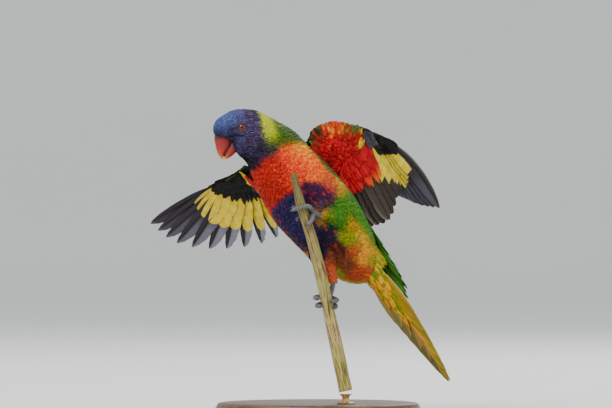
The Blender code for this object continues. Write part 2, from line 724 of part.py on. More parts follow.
def make_wing(side):
    wing = WINGS[side]
    arm_rings = []
    dorsal = unit(wing["dorsal_arm"])
    for i in range(ARM_STEPS + 1):
        share = i / ARM_STEPS
        front, back = spread(wing["edge"], share), spread(wing["rear"], share)
        half = ARM_THICK[0] + (ARM_THICK[1] - ARM_THICK[0]) * share
        arm_rings.append(oval((front + back) / 2, (back - front) / 2, dorsal, 1.0, half, 12))
    arm = closed_object("wing_" + side, *loft(arm_rings), "red")
    wrist = np.array(wing["wrist"])
    hand_rows = [(*(wrist + unit(wing["hand"]) * (HAND_LENGTH + 0.006) * (s - 0.08)), 0.0034 - 0.0012 * s)
                 for s in (0, 0.35, 0.7, 1.0)]
    hand = closed_object("hand", *loft(tube_rings(hand_rows, 10)), "red")
    joined(arm, [hand] + flight_feathers(wing) + covert_feathers(wing))
    joined(arm, [body_length("torso_cut", 0, TORSO_END + 1, "red", GAP)], "DIFFERENCE")
    return arm


def tail_axes():
    along = unit(TAIL_ALONG)
    dorsal = square_to(TAIL_DORSAL, along)
    return along, dorsal, np.cross(along, dorsal)


def tail_coverts(root, tiers, grow=0.0):
    along, dorsal, left = tail_axes()
    vanes = []
    for count, root_at, tip_at, root_below, tip_below, aside, width in tiers:
        side_down = 1 if root_below > 0 else -1
        for k in range(count):
            place = 2 * k / (count - 1) - 1
            sag = 0.0030 * place * place * side_down
            start = root + left * aside * place * 0.85 - dorsal * (root_below - sag)
            end = root + left * aside * place + along * (tip_at - root_at) - dorsal * (tip_below - sag)
            lie = unit(end - start)
            up = square_to(rolled(dorsal, left, 0.30 * place * side_down)[0], lie)
            stagger = along * (0.0045 * (k % 2) - 0.010 * abs(place))
            vanes.append(feather(COVERT_OUTLINE, start + along * root_at + stagger, lie, up,
                                 np.cross(lie, up),
                                 np.linalg.norm(end - start), width, grow=grow))
    return vanes


def make_torso():
    torso = body_length("torso", 0, TORSO_END, "red")
    root = np.array(BODY_STATIONS[0][:3])
    joined(torso, tail_coverts(root, UPPER_TAIL_TIERS))
    return torso


def make_tail():
    along, dorsal, left = tail_axes()
    root, ahead, ring_left, ring_dorsal, sizes = body_section(0)
    start = root - ahead * 1.5 * GAP
    rings = [oval(start, ring_left, ring_dorsal, sizes[0] * 0.9, sizes[1] * 0.85, 16)]
    for share in (0.3, 0.6, 1.0):
        middle = start + along * TAIL_CORE * share - dorsal * 0.002 * share
        rings.append(oval(middle, left, dorsal, 0.0130 - 0.004 * share, 0.0080 - 0.0055 * share, 16))
    tail = closed_object("tail", *loft(rings), "green")
    vanes = []
    for pair, length in enumerate(TAIL_LENGTHS):
        for sign in (1, -1):
            aside = (pair + 0.5) * TAIL_SPREAD
            fan = math.atan2((pair + 0.5) * TAIL_FAN / 5, TAIL_LENGTHS[0])
            lie = along * math.cos(fan) + left * sign * math.sin(fan)
            up, outer = rolled(dorsal, left * sign, -0.10)
            below = TAIL_LAYER * (pair + 0.4 * (sign > 0))
            vanes.append(feather(TAIL_OUTLINE, start + left * sign * aside - dorsal * below, lie, up,
                                 outer, length, TAIL_WIDTH, 0.0, 0.0, 0.003))
    joined(tail, vanes + tail_coverts(start, UNDER_TAIL_TIERS))
    cuts = tail_coverts(root, UPPER_TAIL_TIERS, 1.5 * GAP)
    joined(tail, [body_length("torso_cut", 0, 2, "red", GAP)] + cuts, "DIFFERENCE")
    return tail


def main():
    for old in list(bpy.data.objects):
        bpy.data.objects.remove(old)
    make_torso()
    body_length("neck", TORSO_END + station_gap(TORSO_END), NECK_END, "green")
    make_head()
    make_eyes()
    make_bill()
    stem_solid("perch_stem")
    make_stand()
    make_thigh("left", THIGH_LEFT, "green")
    make_thigh("right", THIGH_RIGHT, "red")
    make_foot("left", SHANK_LEFT, TOES_LEFT, THIGH_LEFT)
    make_foot("right", SHANK_RIGHT, TOES_RIGHT, THIGH_RIGHT)
    make_wing("left")
    make_wing("right")
    make_tail()


main()
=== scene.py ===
"""Rainbow lorikeet, life size, climbing a cut palm stem with both wings raised, on a display stand."""

import math

import bpy
import numpy as np
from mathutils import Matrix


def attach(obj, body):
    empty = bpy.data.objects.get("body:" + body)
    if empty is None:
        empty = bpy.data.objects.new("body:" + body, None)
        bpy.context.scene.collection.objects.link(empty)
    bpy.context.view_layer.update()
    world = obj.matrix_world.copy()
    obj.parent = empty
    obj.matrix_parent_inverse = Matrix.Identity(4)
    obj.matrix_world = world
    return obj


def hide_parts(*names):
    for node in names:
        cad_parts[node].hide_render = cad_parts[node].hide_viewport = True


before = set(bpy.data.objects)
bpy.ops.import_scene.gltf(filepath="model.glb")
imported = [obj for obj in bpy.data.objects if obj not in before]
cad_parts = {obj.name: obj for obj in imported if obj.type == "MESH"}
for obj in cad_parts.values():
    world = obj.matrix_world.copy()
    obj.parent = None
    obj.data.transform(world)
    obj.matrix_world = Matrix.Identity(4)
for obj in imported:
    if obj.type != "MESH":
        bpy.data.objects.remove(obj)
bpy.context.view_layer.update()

# The skin
# The bird's own hide, one soft piece over body, neck, head, thighs and the flesh of the wings. It is
# stretched over the form and lies the depth of the plumage inside the bird's outline, and it is
# painted with the same markings as the feathers that are set into it.

MM = 0.001
BODY_BACK = np.array((0.366, 0.883, 0.291))
HEAD_UP = np.array((-0.20, -0.03, 0.98))
# X, Y, Z, half width, half depth to the back and to the belly, share of the turn from body to head
BODY_STATIONS = np.array((
    (0.0480, 0.000, 0.1235, 0.0150, 0.0100, 0.0120, 0.00),
    (0.0350, 0.000, 0.1310, 0.0235, 0.0165, 0.0205, 0.00),
    (0.0215, 0.000, 0.1445, 0.0295, 0.0235, 0.0265, 0.00),
    (0.0060, 0.000, 0.1645, 0.0335, 0.0280, 0.0290, 0.00),
    (-0.0127, 0.000, 0.1865, 0.0340, 0.0295, 0.0310, 0.00),
    (-0.0285, -0.001, 0.2080, 0.0295, 0.0270, 0.0280, 0.12),
    (-0.0432, -0.004, 0.2262, 0.0225, 0.0230, 0.0220, 0.50),
    (-0.0570, -0.007, 0.2370, 0.0185, 0.0215, 0.0205, 0.85),
    (-0.0675, -0.009, 0.2403, 0.0165, 0.0192, 0.0187, 1.00),
    (-0.0780, -0.011, 0.2410, 0.0138, 0.0153, 0.0152, 1.00),
    (-0.0850, -0.0123, 0.2418, 0.0092, 0.0098, 0.0082, 1.00),
    (-0.0888, -0.0130, 0.2420, 0.0034, 0.0038, 0.0030, 1.00),
))
HEAD_END = len(BODY_STATIONS) - 1
# Depth of the plumage over the skin, from the tail's root to the forehead
DEPTH_AT = (0.0, 0.8, 5.0, 6.0, 7.2, 9.0, 11.0)
DEPTH = (1.5, 2.4, 2.6, 2.2, 1.2, 0.8, 0.6)
THIGHS = {
    "left": ((0.0280, -0.0100, 0.1560, 0.0145), (0.0170, -0.0235, 0.1660, 0.0115),
             (0.0085, -0.0310, 0.1690, 0.0075), (0.0035, -0.0330, 0.1680, 0.0040)),
    "right": ((0.0020, -0.0120, 0.1420, 0.0130), (0.0050, -0.0240, 0.1320, 0.0105),
              (0.0095, -0.0300, 0.1215, 0.0070), (0.0125, -0.0325, 0.1140, 0.0042)),
}
WINGS = {
    "left": {
        "lead": 1.0,
        "edge": ((-0.0085, 0.000, 0.2345), (-0.0035, 0.005, 0.2450), (0.0120, 0.012, 0.2500),
                 (0.0275, 0.020, 0.2475), (0.0400, 0.028, 0.2430)),
        "rear": ((0.0030, 0.010, 0.2110), (0.0145, 0.015, 0.2000), (0.0235, 0.018, 0.2050),
                 (0.0330, 0.022, 0.2175), (0.0410, 0.028, 0.2330)),
        "elbow": (0.0195, 0.0170, 0.2025),
        "wrist": (0.0374, 0.0280, 0.2405),
        "hand": (0.602, 0.772, -0.201),
        "back_arm": (-0.57, 0.82, 0.02),
        "back_hand": (-0.61, 0.61, 0.51),
        "primaries": ((0.344, 0.699, -0.626), (0.310, 0.790, -0.530), (0.333, 0.809, -0.485),
                      (0.400, 0.778, -0.484)),
        "secondaries": ((0.425, 0.560, -0.711), (0.425, 0.365, -0.830), (0.370, 0.300, -0.880),
                        (0.300, 0.250, -0.920)),
        "bow": (0.0, 0.02, 0.04, 0.055),
        "roll": 0.20,
    },
    "right": {
        "lead": -1.0,
        "edge": ((-0.0440, 0.016, 0.2060), (-0.0520, 0.028, 0.2110), (-0.0570, 0.038, 0.2125),
                 (-0.0625, 0.048, 0.2115), (-0.0660, 0.0545, 0.2085)),
        "rear": ((-0.0270, 0.034, 0.1870), (-0.0220, 0.047, 0.1800), (-0.0250, 0.056, 0.1780),
                 (-0.0410, 0.058, 0.1885), (-0.0570, 0.060, 0.2000)),
        "elbow": (-0.0265, 0.0535, 0.1810),
        "wrist": (-0.0620, 0.0560, 0.2050),
        "hand": (-0.582, 0.783, -0.221),
        "back_arm": (0.315, 0.475, 0.82),
        "back_hand": (0.315, 0.475, 0.82),
        "primaries": ((0.331, 0.679, -0.655), (-0.105, 0.795, -0.597), (-0.412, 0.797, -0.444),
                      (-0.558, 0.784, -0.271)),
        "secondaries": ((0.400, 0.680, -0.614), (0.500, 0.610, -0.615), (0.620, 0.540, -0.570),
                        (0.720, 0.450, -0.530)),
        "bow": (0.0, 0.0, 0.005, 0.015),
        "roll": 0.14,
    },
}
ARM_THICK = (0.0042, 0.0028)
HAND_LENGTH = 0.027
# The hand's flesh: how far it runs past the last quill, and its radius at the wrist and what it loses
HAND_PAST = 0.006
HAND_RADIUS = 0.0034
HAND_TAPER = 0.0012
# Roughly the upper side of thighs and hands
TUBE_UP = np.array((0.12, -0.31, 0.94))
SKIN_GRAIN = 0.0012

PAINT = {
    "forehead": (0.066, 0.105, 0.300), "crown": (0.048, 0.052, 0.155), "crown rear": (0.026, 0.012, 0.024),
    "cheek": (0.042, 0.032, 0.120), "ear": (0.036, 0.020, 0.058), "lore": (0.002, 0.002, 0.006),
    "gape": (0.004, 0.003, 0.006), "throat": (0.008, 0.004, 0.014), "chin": (0.026, 0.018, 0.068),
    "collar": (0.460, 0.500, 0.003), "nape edge": (0.050, 0.045, 0.020), "mantle": (0.044, 0.098, 0.006),
    "mantle low": (0.050, 0.130, 0.020), "rump": (0.050, 0.140, 0.020),
    "breast yellow": (0.950, 0.380, 0.012), "breast orange": (0.920, 0.110, 0.010),
    "breast mid": (0.820, 0.052, 0.010), "breast red": (0.470, 0.014, 0.007),
    # The darkest breast red is partly the breast's own red and partly painted shade, for the bird's right
    # side and underneath
    "breast low": (0.400, 0.013, 0.008), "breast dark": (0.190, 0.008, 0.005),
    "side orange": (0.720, 0.110, 0.012), "belly blue": (0.020, 0.015, 0.072),
    "belly violet": (0.034, 0.009, 0.042), "belly low": (0.014, 0.009, 0.034),
    "belly dark": (0.040, 0.010, 0.008), "flank red": (0.460, 0.026, 0.018),
    "flank green": (0.046, 0.185, 0.010), "flank yellow": (0.210, 0.230, 0.006),
    "flank orange": (0.720, 0.300, 0.010), "vent brown": (0.200, 0.050, 0.014),
    "vent red": (0.420, 0.050, 0.014), "vent orange": (0.640, 0.280, 0.008),
    "vent yellow": (0.420, 0.360, 0.010), "thigh red": (0.560, 0.075, 0.030),
    "thigh orange": (0.640, 0.130, 0.040),
}
# The markings: main colour, colour of the stray feathers among it and their share, and the places that look
# so, each a station along the body and degrees round it from the middle of the back to the bird's left
MARKS_BOTH_SIDES = {
    ("forehead", "crown", 0.2): ((10.2, 60), (9.5, 90)),
    ("forehead", "crown", 0.3): ((9.4, 45), (9.5, 74)),
    ("crown", "ear", 0.1): ((8.4, 45),),
    ("crown rear", "crown", 0.3): ((7.45, 40),),
    ("ear", "crown", 0.3): ((7.3, 62),),
    ("lore", "cheek", 0.1): ((10.0, 112), (9.6, 107), (9.25, 103), (8.9, 99), (9.1, 104), (8.75, 101)),
    ("lore", "cheek", 0.2): ((8.58, 96),),
    ("cheek", "crown", 0.2): ((9.3, 117), (8.6, 110), (8.1, 96), (8.9, 116)),
    ("crown", "forehead", 0.3): ((8.6, 62),),
    ("cheek", "chin", 0.3): ((8.2, 127),),
    ("gape", "gape", 0.0): ((8.95, 134), (8.72, 128)),
    ("ear", "cheek", 0.4): ((7.4, 95),),
    ("ear", "cheek", 0.2): ((7.08, 82),),
    ("ear", "throat", 0.3): ((6.85, 106),),
    ("throat", "ear", 0.2): ((6.35, 122),),
    ("throat", "ear", 0.1): ((6.02, 123),),
    ("ear", "chin", 0.3): ((7.4, 125),),
    ("chin", "throat", 0.3): ((7.6, 155),),
    ("throat", "chin", 0.3): ((6.5, 128),),
    ("throat", "chin", 0.2): ((6.5, 155),),
    ("collar", "mantle", 0.0): ((6.92, 34), (6.76, 56), (6.63, 78), (6.38, 98)),
    ("mantle", "nape edge", 0.1): ((6.22, 110), (5.88, 103)),
    ("mantle", "collar", 0.1): ((6.5, 34),),
    ("mantle", "collar", 0.05): ((6.28, 62),),
    ("mantle", "collar", 0.03): ((6.02, 86),),
    ("mantle", "mantle low", 0.2): ((5.8, 90),),
    ("mantle", "mantle low", 0.1): ((5.66, 77), (5.5, 40)),
    ("mantle low", "mantle", 0.4): ((4.8, 50), (4.0, 20)),
    ("mantle low", "rump", 0.4): ((4.0, 66),),
    ("rump", "mantle low", 0.4): ((3.1, 45),),
    ("rump", "mantle low", 0.3): ((2.1, 20),),
    ("rump", "flank green", 0.3): ((2.1, 66),),
    ("rump", "mantle", 0.4): ((1.2, 66),),
    ("rump", "mantle", 0.3): ((0.1, 30),),
    ("breast yellow", "breast orange", 0.3): ((5.38, 93),),
    ("breast orange", "breast mid", 0.3): ((5.56, 107),),
    ("breast orange", "breast yellow", 0.3): ((5.0, 106),),
    ("side orange", "flank green", 0.25): ((4.0, 108),),
    ("belly dark", "flank red", 0.2): ((2.0, 165),),
    ("flank red", "belly violet", 0.4): ((3.75, 108),),
    ("flank orange", "flank green", 0.5): ((3.48, 98),),
    ("belly violet", "flank red", 0.5): ((3.45, 128),),
    ("flank green", "mantle low", 0.2): ((3.15, 96), (2.38, 106)),
    ("flank green", "flank yellow", 0.15): ((2.7, 108),),
    ("flank orange", "flank yellow", 0.3): ((2.36, 123),),
    ("flank green", "mantle low", 0.3): ((2.15, 95),),
    ("flank orange", "flank yellow", 0.2): ((1.9, 118),),
    ("flank green", "rump", 0.2): ((1.88, 103), (1.22, 97)),
    ("flank green", "rump", 0.3): ((1.65, 100),),
    ("flank orange", "vent orange", 0.3): ((1.42, 115),),
    ("flank green", "rump", 0.4): ((0.95, 97),),
    ("vent yellow", "flank green", 0.3): ((0.0, 112),),
    ("vent red", "vent orange", 0.5): ((-0.1, 160),),
}
MARKS_ONE_SIDE = {
    ("forehead", "crown", 0.2): ((10.8, 0),),
    ("forehead", "crown", 0.3): ((9.4, 0),),
    ("crown", "forehead", 0.1): ((8.4, 0),),
    ("crown rear", "crown", 0.3): ((7.6, 0),),
    ("chin", "throat", 0.2): ((8.4, 180),),
    ("throat", "chin", 0.2): ((6.6, 180),),
    ("collar", "nape edge", 0.05): ((7.05, 0),),
    ("mantle", "collar", 0.1): ((6.65, 0),),
    ("mantle", "mantle low", 0.4): ((4.9, 0),),
    ("rump", "mantle low", 0.4): ((3.1, 0),),
    ("rump", "mantle", 0.3): ((1.1, 0),),
    # The breast's one-sided marks: orange on the bird's left and deep red on its right and underneath, the
    # breast's own colours with painted light on the left side and painted shade on the right side and below
    ("breast mid", "breast orange", 0.3): ((5.6, 123), (4.35, -116)),
    ("breast mid", "breast red", 0.3): ((5.6, -123),),
    ("breast red", "breast mid", 0.3): ((5.5, 145), (5.0, 160)),
    ("breast red", "breast mid", 0.2): ((5.5, -145),),
    ("breast red", "breast dark", 0.15): ((5.6, 180),),
    ("breast mid", "breast orange", 0.4): ((5.0, 128),),
    ("breast red", "breast mid", 0.4): ((5.0, -128),),
    ("breast low", "breast red", 0.3): ((5.0, -160),),
    ("breast mid", "breast red", 0.4): ((4.75, 143),),
    ("breast low", "breast dark", 0.2): ((4.8, 180),),
    ("breast low", "breast dark", 0.25): ((4.75, -140),),
    ("breast orange", "breast yellow", 0.25): ((4.35, 116),),
    ("belly violet", "breast low", 0.12): ((4.02, 146),),
    ("belly blue", "breast low", 0.06): ((4.0, 180),),
    ("belly blue", "breast low", 0.05): ((3.9, -146),),
    ("belly violet", "flank red", 0.35): ((3.85, 130),),
    ("belly blue", "flank red", 0.3): ((3.85, -130),),
    ("belly blue", "belly violet", 0.4): ((3.3, 150),),
    ("belly blue", "belly violet", 0.3): ((3.3, 180), (3.3, -150)),
    ("belly violet", "flank red", 0.2): ((2.9, -128),),
    ("belly low", "flank red", 0.12): ((2.6, 160),),
    ("belly low", "belly blue", 0.4): ((2.6, -155),),
    ("flank green", "flank yellow", 0.15): ((3.15, 118), (3.1, -114)),
    ("flank green", "flank yellow", 0.25): ((2.6, 128),),
    ("flank yellow", "flank green", 0.3): ((2.25, 141), (1.9, 132)),
    ("flank yellow", "vent brown", 0.3): ((1.98, 141), (1.95, -135)),
    ("vent orange", "flank orange", 0.3): ((1.1, 132),),
    ("flank green", "vent orange", 0.3): ((0.3, 140),),
    ("vent red", "vent brown", 0.6): ((1.5, 145),),
    ("vent brown", "belly dark", 0.4): ((1.3, 180),),
    ("flank yellow", "vent red", 0.3): ((1.5, -145),),
    ("vent orange", "flank orange", 0.4): ((0.7, 118),),
    ("vent yellow", "flank green", 0.4): ((0.7, -118),),
    ("vent orange", "vent red", 0.4): ((0.7, 150),),
    ("vent red", "vent brown", 0.4): ((0.7, -150), (0.6, 180)),
}
# The same by X, Y and Z, for the thighs
MARKS_BY_PLACE = (
    (0.0300, -0.0200, 0.1540, "flank green", "flank orange", 0.15),
    (0.0200, -0.0330, 0.1620, "flank green", "flank yellow", 0.10),
    (0.0150, -0.0300, 0.1750, "flank green", "flank yellow", 0.10),
    (0.0080, -0.0370, 0.1660, "flank green", "vent orange", 0.15),
    (0.0022, -0.0350, 0.1700, "vent orange", "breast mid", 0.30),
    (0.0010, -0.0240, 0.1440, "belly low", "belly violet", 0.20),
    (0.0000, -0.0300, 0.1340, "belly low", "belly dark", 0.20),
    (0.0130, -0.0300, 0.1330, "vent brown", "vent red", 0.30),
    (0.0095, -0.0370, 0.1220, "thigh red", "thigh orange", 0.40),
    (0.0125, -0.0350, 0.1150, "thigh orange", "thigh red", 0.40),
)
MARK_EDGE = 0.035
AT_A_TIME = 20000
# How deep the skin lies inside the outline of thighs, arms and hands
THIGH_SUNK = 1.4 * MM
ARM_SUNK = 1.2 * MM
HAND_SUNK = 0.8 * MM
# Rows along and places round each form that the skin is stretched over
SKIN_GRIDS = {"body": (90, 64), "thigh": (24, 32), "arm": (24, 40), "hand": (16, 24)}
# How much darker the skin is painted than the feathers over it, as painted shade where it shows deep among
# them
SKIN_SHADE = 0.7


def unit(v):
    """v divided by its own length."""
    return v / np.maximum(np.linalg.norm(v, axis=-1, keepdims=True), 1e-12)


def square_to(v, axis):
    """v less its share along axis, divided by its length."""
    return unit(v - np.sum(v * axis, axis=-1, keepdims=True) * axis)


def curve_through(rows, at):
    """The Catmull-Rom cubic through rows at parameters 0, 1, 2 and on, and a straight line past each end."""
    rows = np.asarray(rows, float)
    if rows.ndim == 1:
        return curve_through(rows[:, None], at)[..., 0]
    ends = np.concatenate([2 * rows[:1] - rows[1:2], rows, 2 * rows[-1:] - rows[-2:-1]])
    inside = np.clip(at, 0, len(rows) - 1)
    beyond = (at - inside)[..., None]
    i = np.clip(np.floor(inside).astype(int), 0, len(rows) - 2)
    t = (inside - i)[..., None]
    a, b, c, d = (ends[i + k] for k in range(4))
    cubic = 0.5 * (2 * b + (c - a) * t + (2 * a - 5 * b + 4 * c - d) * t**2 + (3 * b - a - 3 * c + d) * t**3)
    return cubic + beyond * np.where(beyond < 0, rows[1] - rows[0], rows[-1] - rows[-2])


def curve_ahead(rows, at):
    """The unit direction of the curve through rows, from the places a twentieth before and after."""
    last = len(rows) - 1
    low, high = np.clip(at - 0.05, 0, last - 0.05), np.clip(at + 0.05, 0.05, last)
    places = np.asarray(rows, float)[:, :3]
    return unit(curve_through(places, high) - curve_through(places, low))


def body_surface(at, turn, out):
    """Centre + left·(half width + out)·sin(turn) + back·(half depth + out)·cos(turn), all at a station.

    The back axis is the body's turned into the head's by the station's share, less its part along the body.
    """
    row = curve_through(BODY_STATIONS, at)
    ahead = curve_ahead(BODY_STATIONS, at)
    share = np.clip(row[..., 6:7], 0, 1)
    back = square_to((1 - share) * BODY_BACK + share * HEAD_UP, ahead)
    left = np.cross(back, ahead)
    cosine, sine, out = np.cos(turn)[..., None], np.sin(turn)[..., None], out[..., None]
    depth = np.where(cosine > 0, row[..., 4:5], row[..., 5:6])
    return row[..., :3] + left * (row[..., 3:4] + out) * sine + back * (depth + out) * cosine


def circle(across, up, turn):
    """across·cos(turn) + up·sin(turn)."""
    return across * np.cos(turn)[..., None] + up * np.sin(turn)[..., None]


def full_turn(count):
    """The angles of count places round a circle."""
    return np.arange(count) * 2 * math.pi / count


def tube_surface(rows):
    """A surface round the curve through rows of X, Y, Z, radius.

    Centre + (radius + out)·(across·cos(turn) + up·sin(turn))
    """
    rows = np.asarray(rows, float)

    def surface(at, turn, out):
        row = curve_through(rows, at)
        ahead = curve_ahead(rows, at)
        up = square_to(TUBE_UP, ahead)
        return row[..., :3] + (row[..., 3:4] + out[..., None]) * circle(np.cross(ahead, up), up, turn)

    return surface


def arm_surface(wing):
    """The fleshy part of a wing between its leading and rear edges.

    Middle of the two edges + half the chord·cos(turn) + back-facing axis·half thickness·sin(turn), where at
    runs from 0 at the body to 4 at the wrist.
    """
    axis = unit(np.array(wing["back_arm"]))

    def surface(at, turn, out):
        front, rear = curve_through(wing["edge"], at), curve_through(wing["rear"], at)
        half = (ARM_THICK[0] + (ARM_THICK[1] - ARM_THICK[0]) * at / 4 + out)[..., None]
        chord = (rear - front) / 2
        middle = (front + rear) / 2
        reach = chord + unit(chord) * out[..., None]
        return middle + reach * np.cos(turn)[..., None] + axis * half * np.sin(turn)[..., None]

    return surface


def hand_rows(wing):
    """The line of the hand's flesh, X, Y, Z, radius, from the wrist out."""
    along = unit(np.array(wing["hand"])) * (HAND_LENGTH + HAND_PAST)
    return [(*(np.array(wing["wrist"]) + along * (s - 0.08)), HAND_RADIUS - HAND_TAPER * s)
            for s in (0, 0.35, 0.7, 1.0)]


def ring_corners(rows, around):
    """The number of each place in a grid of rings but the last ring's, and of the next place on the ring."""
    r, k = np.meshgrid(np.arange(rows - 1), np.arange(around), indexing="ij")
    return r * around + k, r * around + (k + 1) % around


def closed_tube(rings):
    """Points and triangles of a closed body: rings joined in turn, each end drawn to its ring's middle."""
    rows, around = rings.shape[:2]
    a, b = ring_corners(rows, around)
    sides = np.stack([a, b, b + around, a, b + around, a + around], -1).reshape(-1, 3)
    k = np.arange(around)
    after = (k + 1) % around
    top = (rows - 1) * around
    low_end = np.stack([after, k, np.full(around, rows * around)], -1)
    high_end = np.stack([top + k, top + after, np.full(around, rows * around + 1)], -1)
    return closed_ends(rings), np.concatenate([sides, low_end, high_end])


def closed_ends(values):
    """A value for each point of a closed tube: the rings' own, then the means of the first and last ring."""
    flat = values.reshape(-1, *values.shape[2:])
    return np.concatenate([flat, values[0].mean(0, keepdims=True), values[-1].mean(0, keepdims=True)])


def facing_out(points, faces):
    """The faces, turned over if the volume that they enclose comes out negative."""
    a, b, c = (points[faces[:, k]] for k in range(3))
    return faces if np.sum(a * np.cross(b, c)) > 0 else faces[:, ::-1]


def one_mesh(bodies):
    """Points and triangles of several closed bodies, one after the other in two arrays."""
    starts = np.cumsum([0] + [len(points) for points, _ in bodies[:-1]])
    points = np.concatenate([points for points, _ in bodies])
    return points, np.concatenate([facing_out(p, f) + start for (p, f), start in zip(bodies, starts)])


def mesh_object(name, points, faces):
    """A smooth mesh object at the origin."""
    mesh = bpy.data.meshes.new(name)
    mesh.vertices.add(len(points))
    mesh.vertices.foreach_set("co", points.astype(np.float32).ravel())
    mesh.loops.add(faces.size)
    mesh.loops.foreach_set("vertex_index", faces.astype(np.int32).ravel())
    mesh.polygons.add(len(faces))
    mesh.polygons.foreach_set("loop_start", (np.arange(len(faces)) * faces.shape[1]).astype(np.int32))
    mesh.update(calc_edges=True)
    mesh.shade_smooth()
    made = bpy.data.objects.new(name, mesh)
    bpy.context.scene.collection.objects.link(made)
    return made


def paint_points(obj, name, colours):
    """Stores a colour for each point."""
    rgba = np.ones((len(colours), 4), np.float32)
    rgba[:, :3] = np.clip(colours, 0, 1)
    obj.data.attributes.new(name, "FLOAT_COLOR", "POINT").data.foreach_set("color", rgba.ravel())


def grid_of(first, last, rows, around):
    """Parameters of a tube's grid: at from first to last, and turn once round."""
    at = np.linspace(first, last, rows)[:, None] + np.zeros((1, around))
    return at, full_turn(around) + np.zeros((rows, 1))


def applied(obj):
    """The object's mesh with its modifiers worked in."""
    finished = bpy.data.meshes.new_from_object(obj.evaluated_get(bpy.context.evaluated_depsgraph_get()))
    obj.modifiers.clear()
    obj.data = finished


def rows_of(looks):
    """Markings one by one: place along, turn, main colour, stray colour and share."""
    return [(at, turn, *look) for look, places in looks.items() for at, turn in places]


def mark_places(rows, surface):
    """Where on a surface the markings stand."""
    at, turn = np.array([row[:2] for row in rows], float).T
    return surface(at, np.radians(turn), np.zeros(len(rows)))


def mark_looks(rows, paint):
    """The markings' main colours, stray colours and shares as arrays."""
    main, stray, share = zip(*(row[-3:] for row in rows))
    colours = [np.array([paint[name] for name in names]) for names in (main, stray)]
    return *colours, np.array(share)


def nearest(places, centres, edge, looks):
    """The looks at some places: means of all markings' weighted by exp(-edge·distance²), in millimetres.

    So the nearest marking rules, and two of them blend over a few millimetres.
    """
    away = np.sum(((places[:, None] - centres[None]) / MM) ** 2, -1)
    weight = np.exp(-edge * (away - away.min(1, keepdims=True)))
    weight /= weight.sum(1, keepdims=True)
    return [weight @ look for look in looks]


MARKS = rows_of(MARKS_ONE_SIDE) + [(at, sign * turn, *look) for at, turn, *look in rows_of(MARKS_BOTH_SIDES)
                                   for sign in (1, -1)]
MARK_PLACES = np.concatenate([mark_places(MARKS, body_surface),
                              np.array([row[:3] for row in MARKS_BY_PLACE])])
MARK_LOOKS = mark_looks(MARKS + list(MARKS_BY_PLACE), PAINT)


def markings(points):
    """Main and stray colour and the strays' share at each point, worked out for some points at a time."""
    parts = [nearest(points[start : start + AT_A_TIME], MARK_PLACES, MARK_EDGE, MARK_LOOKS)
             for start in range(0, len(points), AT_A_TIME)]
    return [np.concatenate(part) for part in zip(*parts)]


def plumage_depth(at):
    """Depth of the plumage at a station, straight between the given ones."""
    return np.interp(at, DEPTH_AT, DEPTH) * MM


def add_node(tree, kind, sockets=None, **settings):
    """A shader node with its settings, and its sockets given numbers or fed from other sockets."""
    node = tree.nodes.new(kind)
    for name, value in settings.items():
        setattr(node, name, value)
    for name, value in (sockets or {}).items():
        if isinstance(value, bpy.types.NodeSocket):
            tree.links.new(value, node.inputs[name])
        else:
            node.inputs[name].default_value = value
    return node


def new_material(name, **shader_values):
    """A material, its tree and its places in space. The plain values are set on the shader's own sockets."""
    made = bpy.data.materials.new(name)
    made.use_nodes = True
    tree = made.node_tree
    for socket, value in shader_values.items():
        tree.nodes["Principled BSDF"].inputs[socket.replace("_", " ")].default_value = value
    return made, tree, add_node(tree, "ShaderNodeTexCoord").outputs["Object"]


def stored(tree, name, output="Fac"):
    """The number or colour stored on the piece's points."""
    return add_node(tree, "ShaderNodeAttribute", attribute_name=name).outputs[output]


def noise(tree, places, scale, detail, **more):
    """Fractal noise over places, from 0 to 1."""
    sockets = {"Vector": places, "Scale": scale, "Detail": detail, **more}
    return add_node(tree, "ShaderNodeTexNoise", sockets).outputs[0]


def cells(tree, places, scale):
    """The distance from the middle of the nearest of many small cells."""
    return add_node(tree, "ShaderNodeTexVoronoi", {"Vector": places, "Scale": scale}).outputs["Distance"]


def coated(tree, colour, height=None, strength=0.0, distance=0.0):
    """Sets colour into the shader, and the relief of height where one is given."""
    shader = tree.nodes["Principled BSDF"]
    tree.links.new(colour, shader.inputs["Base Color"])
    if height is not None:
        relief = add_node(tree, "ShaderNodeBump", {"Height": height, "Strength": strength,
                                                   "Distance": distance})
        tree.links.new(relief.outputs[0], shader.inputs["Normal"])


def tinted(tree, colour, factor, dark, light):
    """colour times a grey that runs from dark to light with factor."""
    grey = add_node(tree, "ShaderNodeMapRange", {"Value": factor, "To Min": dark, "To Max": light})
    return add_node(tree, "ShaderNodeVectorMath", {0: colour, 1: grey.outputs[0]},
                    operation="MULTIPLY").outputs[0]


HEAD_FORWARD = np.array((-0.965, -0.165, -0.205))
FORWARD = unit(HEAD_FORWARD)
UP = square_to(HEAD_UP, FORWARD)
LEFT = np.cross(UP, FORWARD)
SKULL = BODY_STATIONS[8, :3]
# The bill stands free before this line on the face: ahead of the skull's centre, height there, its slope, and
# how much higher it lies over the cere
FACE_LINE = (0.0068, -0.0044, 0.24, 0.0030)
FACE_WIDTH = 0.0044
# Where ahead of the skull's centre the cere begins, and how soon it stands at its full height
CERE_FROM = 0.0125
CERE_RISE = 0.003


def before_face(points):
    """How far points stand inside the face's window that the bill fills, 0 at its edge and 1 from 1 mm in."""
    off = points - SKULL
    ahead, up = off @ FORWARD, off @ UP
    start, level, slope, more = FACE_LINE
    line = level + slope * (ahead - start) + more * np.clip((ahead - CERE_FROM) / CERE_RISE, 0, 1)
    return np.clip(np.minimum(ahead - start, line - up) / MM, 0, 1)


def narrowed_face(points):
    """Points inside the bill's window drawn in to the face's middle, so that the bill's sides stand free."""
    left = (points - SKULL) @ LEFT
    narrow = np.sign(left) * np.minimum(np.abs(left), FACE_WIDTH)
    return points + LEFT * ((narrow - left) * before_face(points))[:, None]


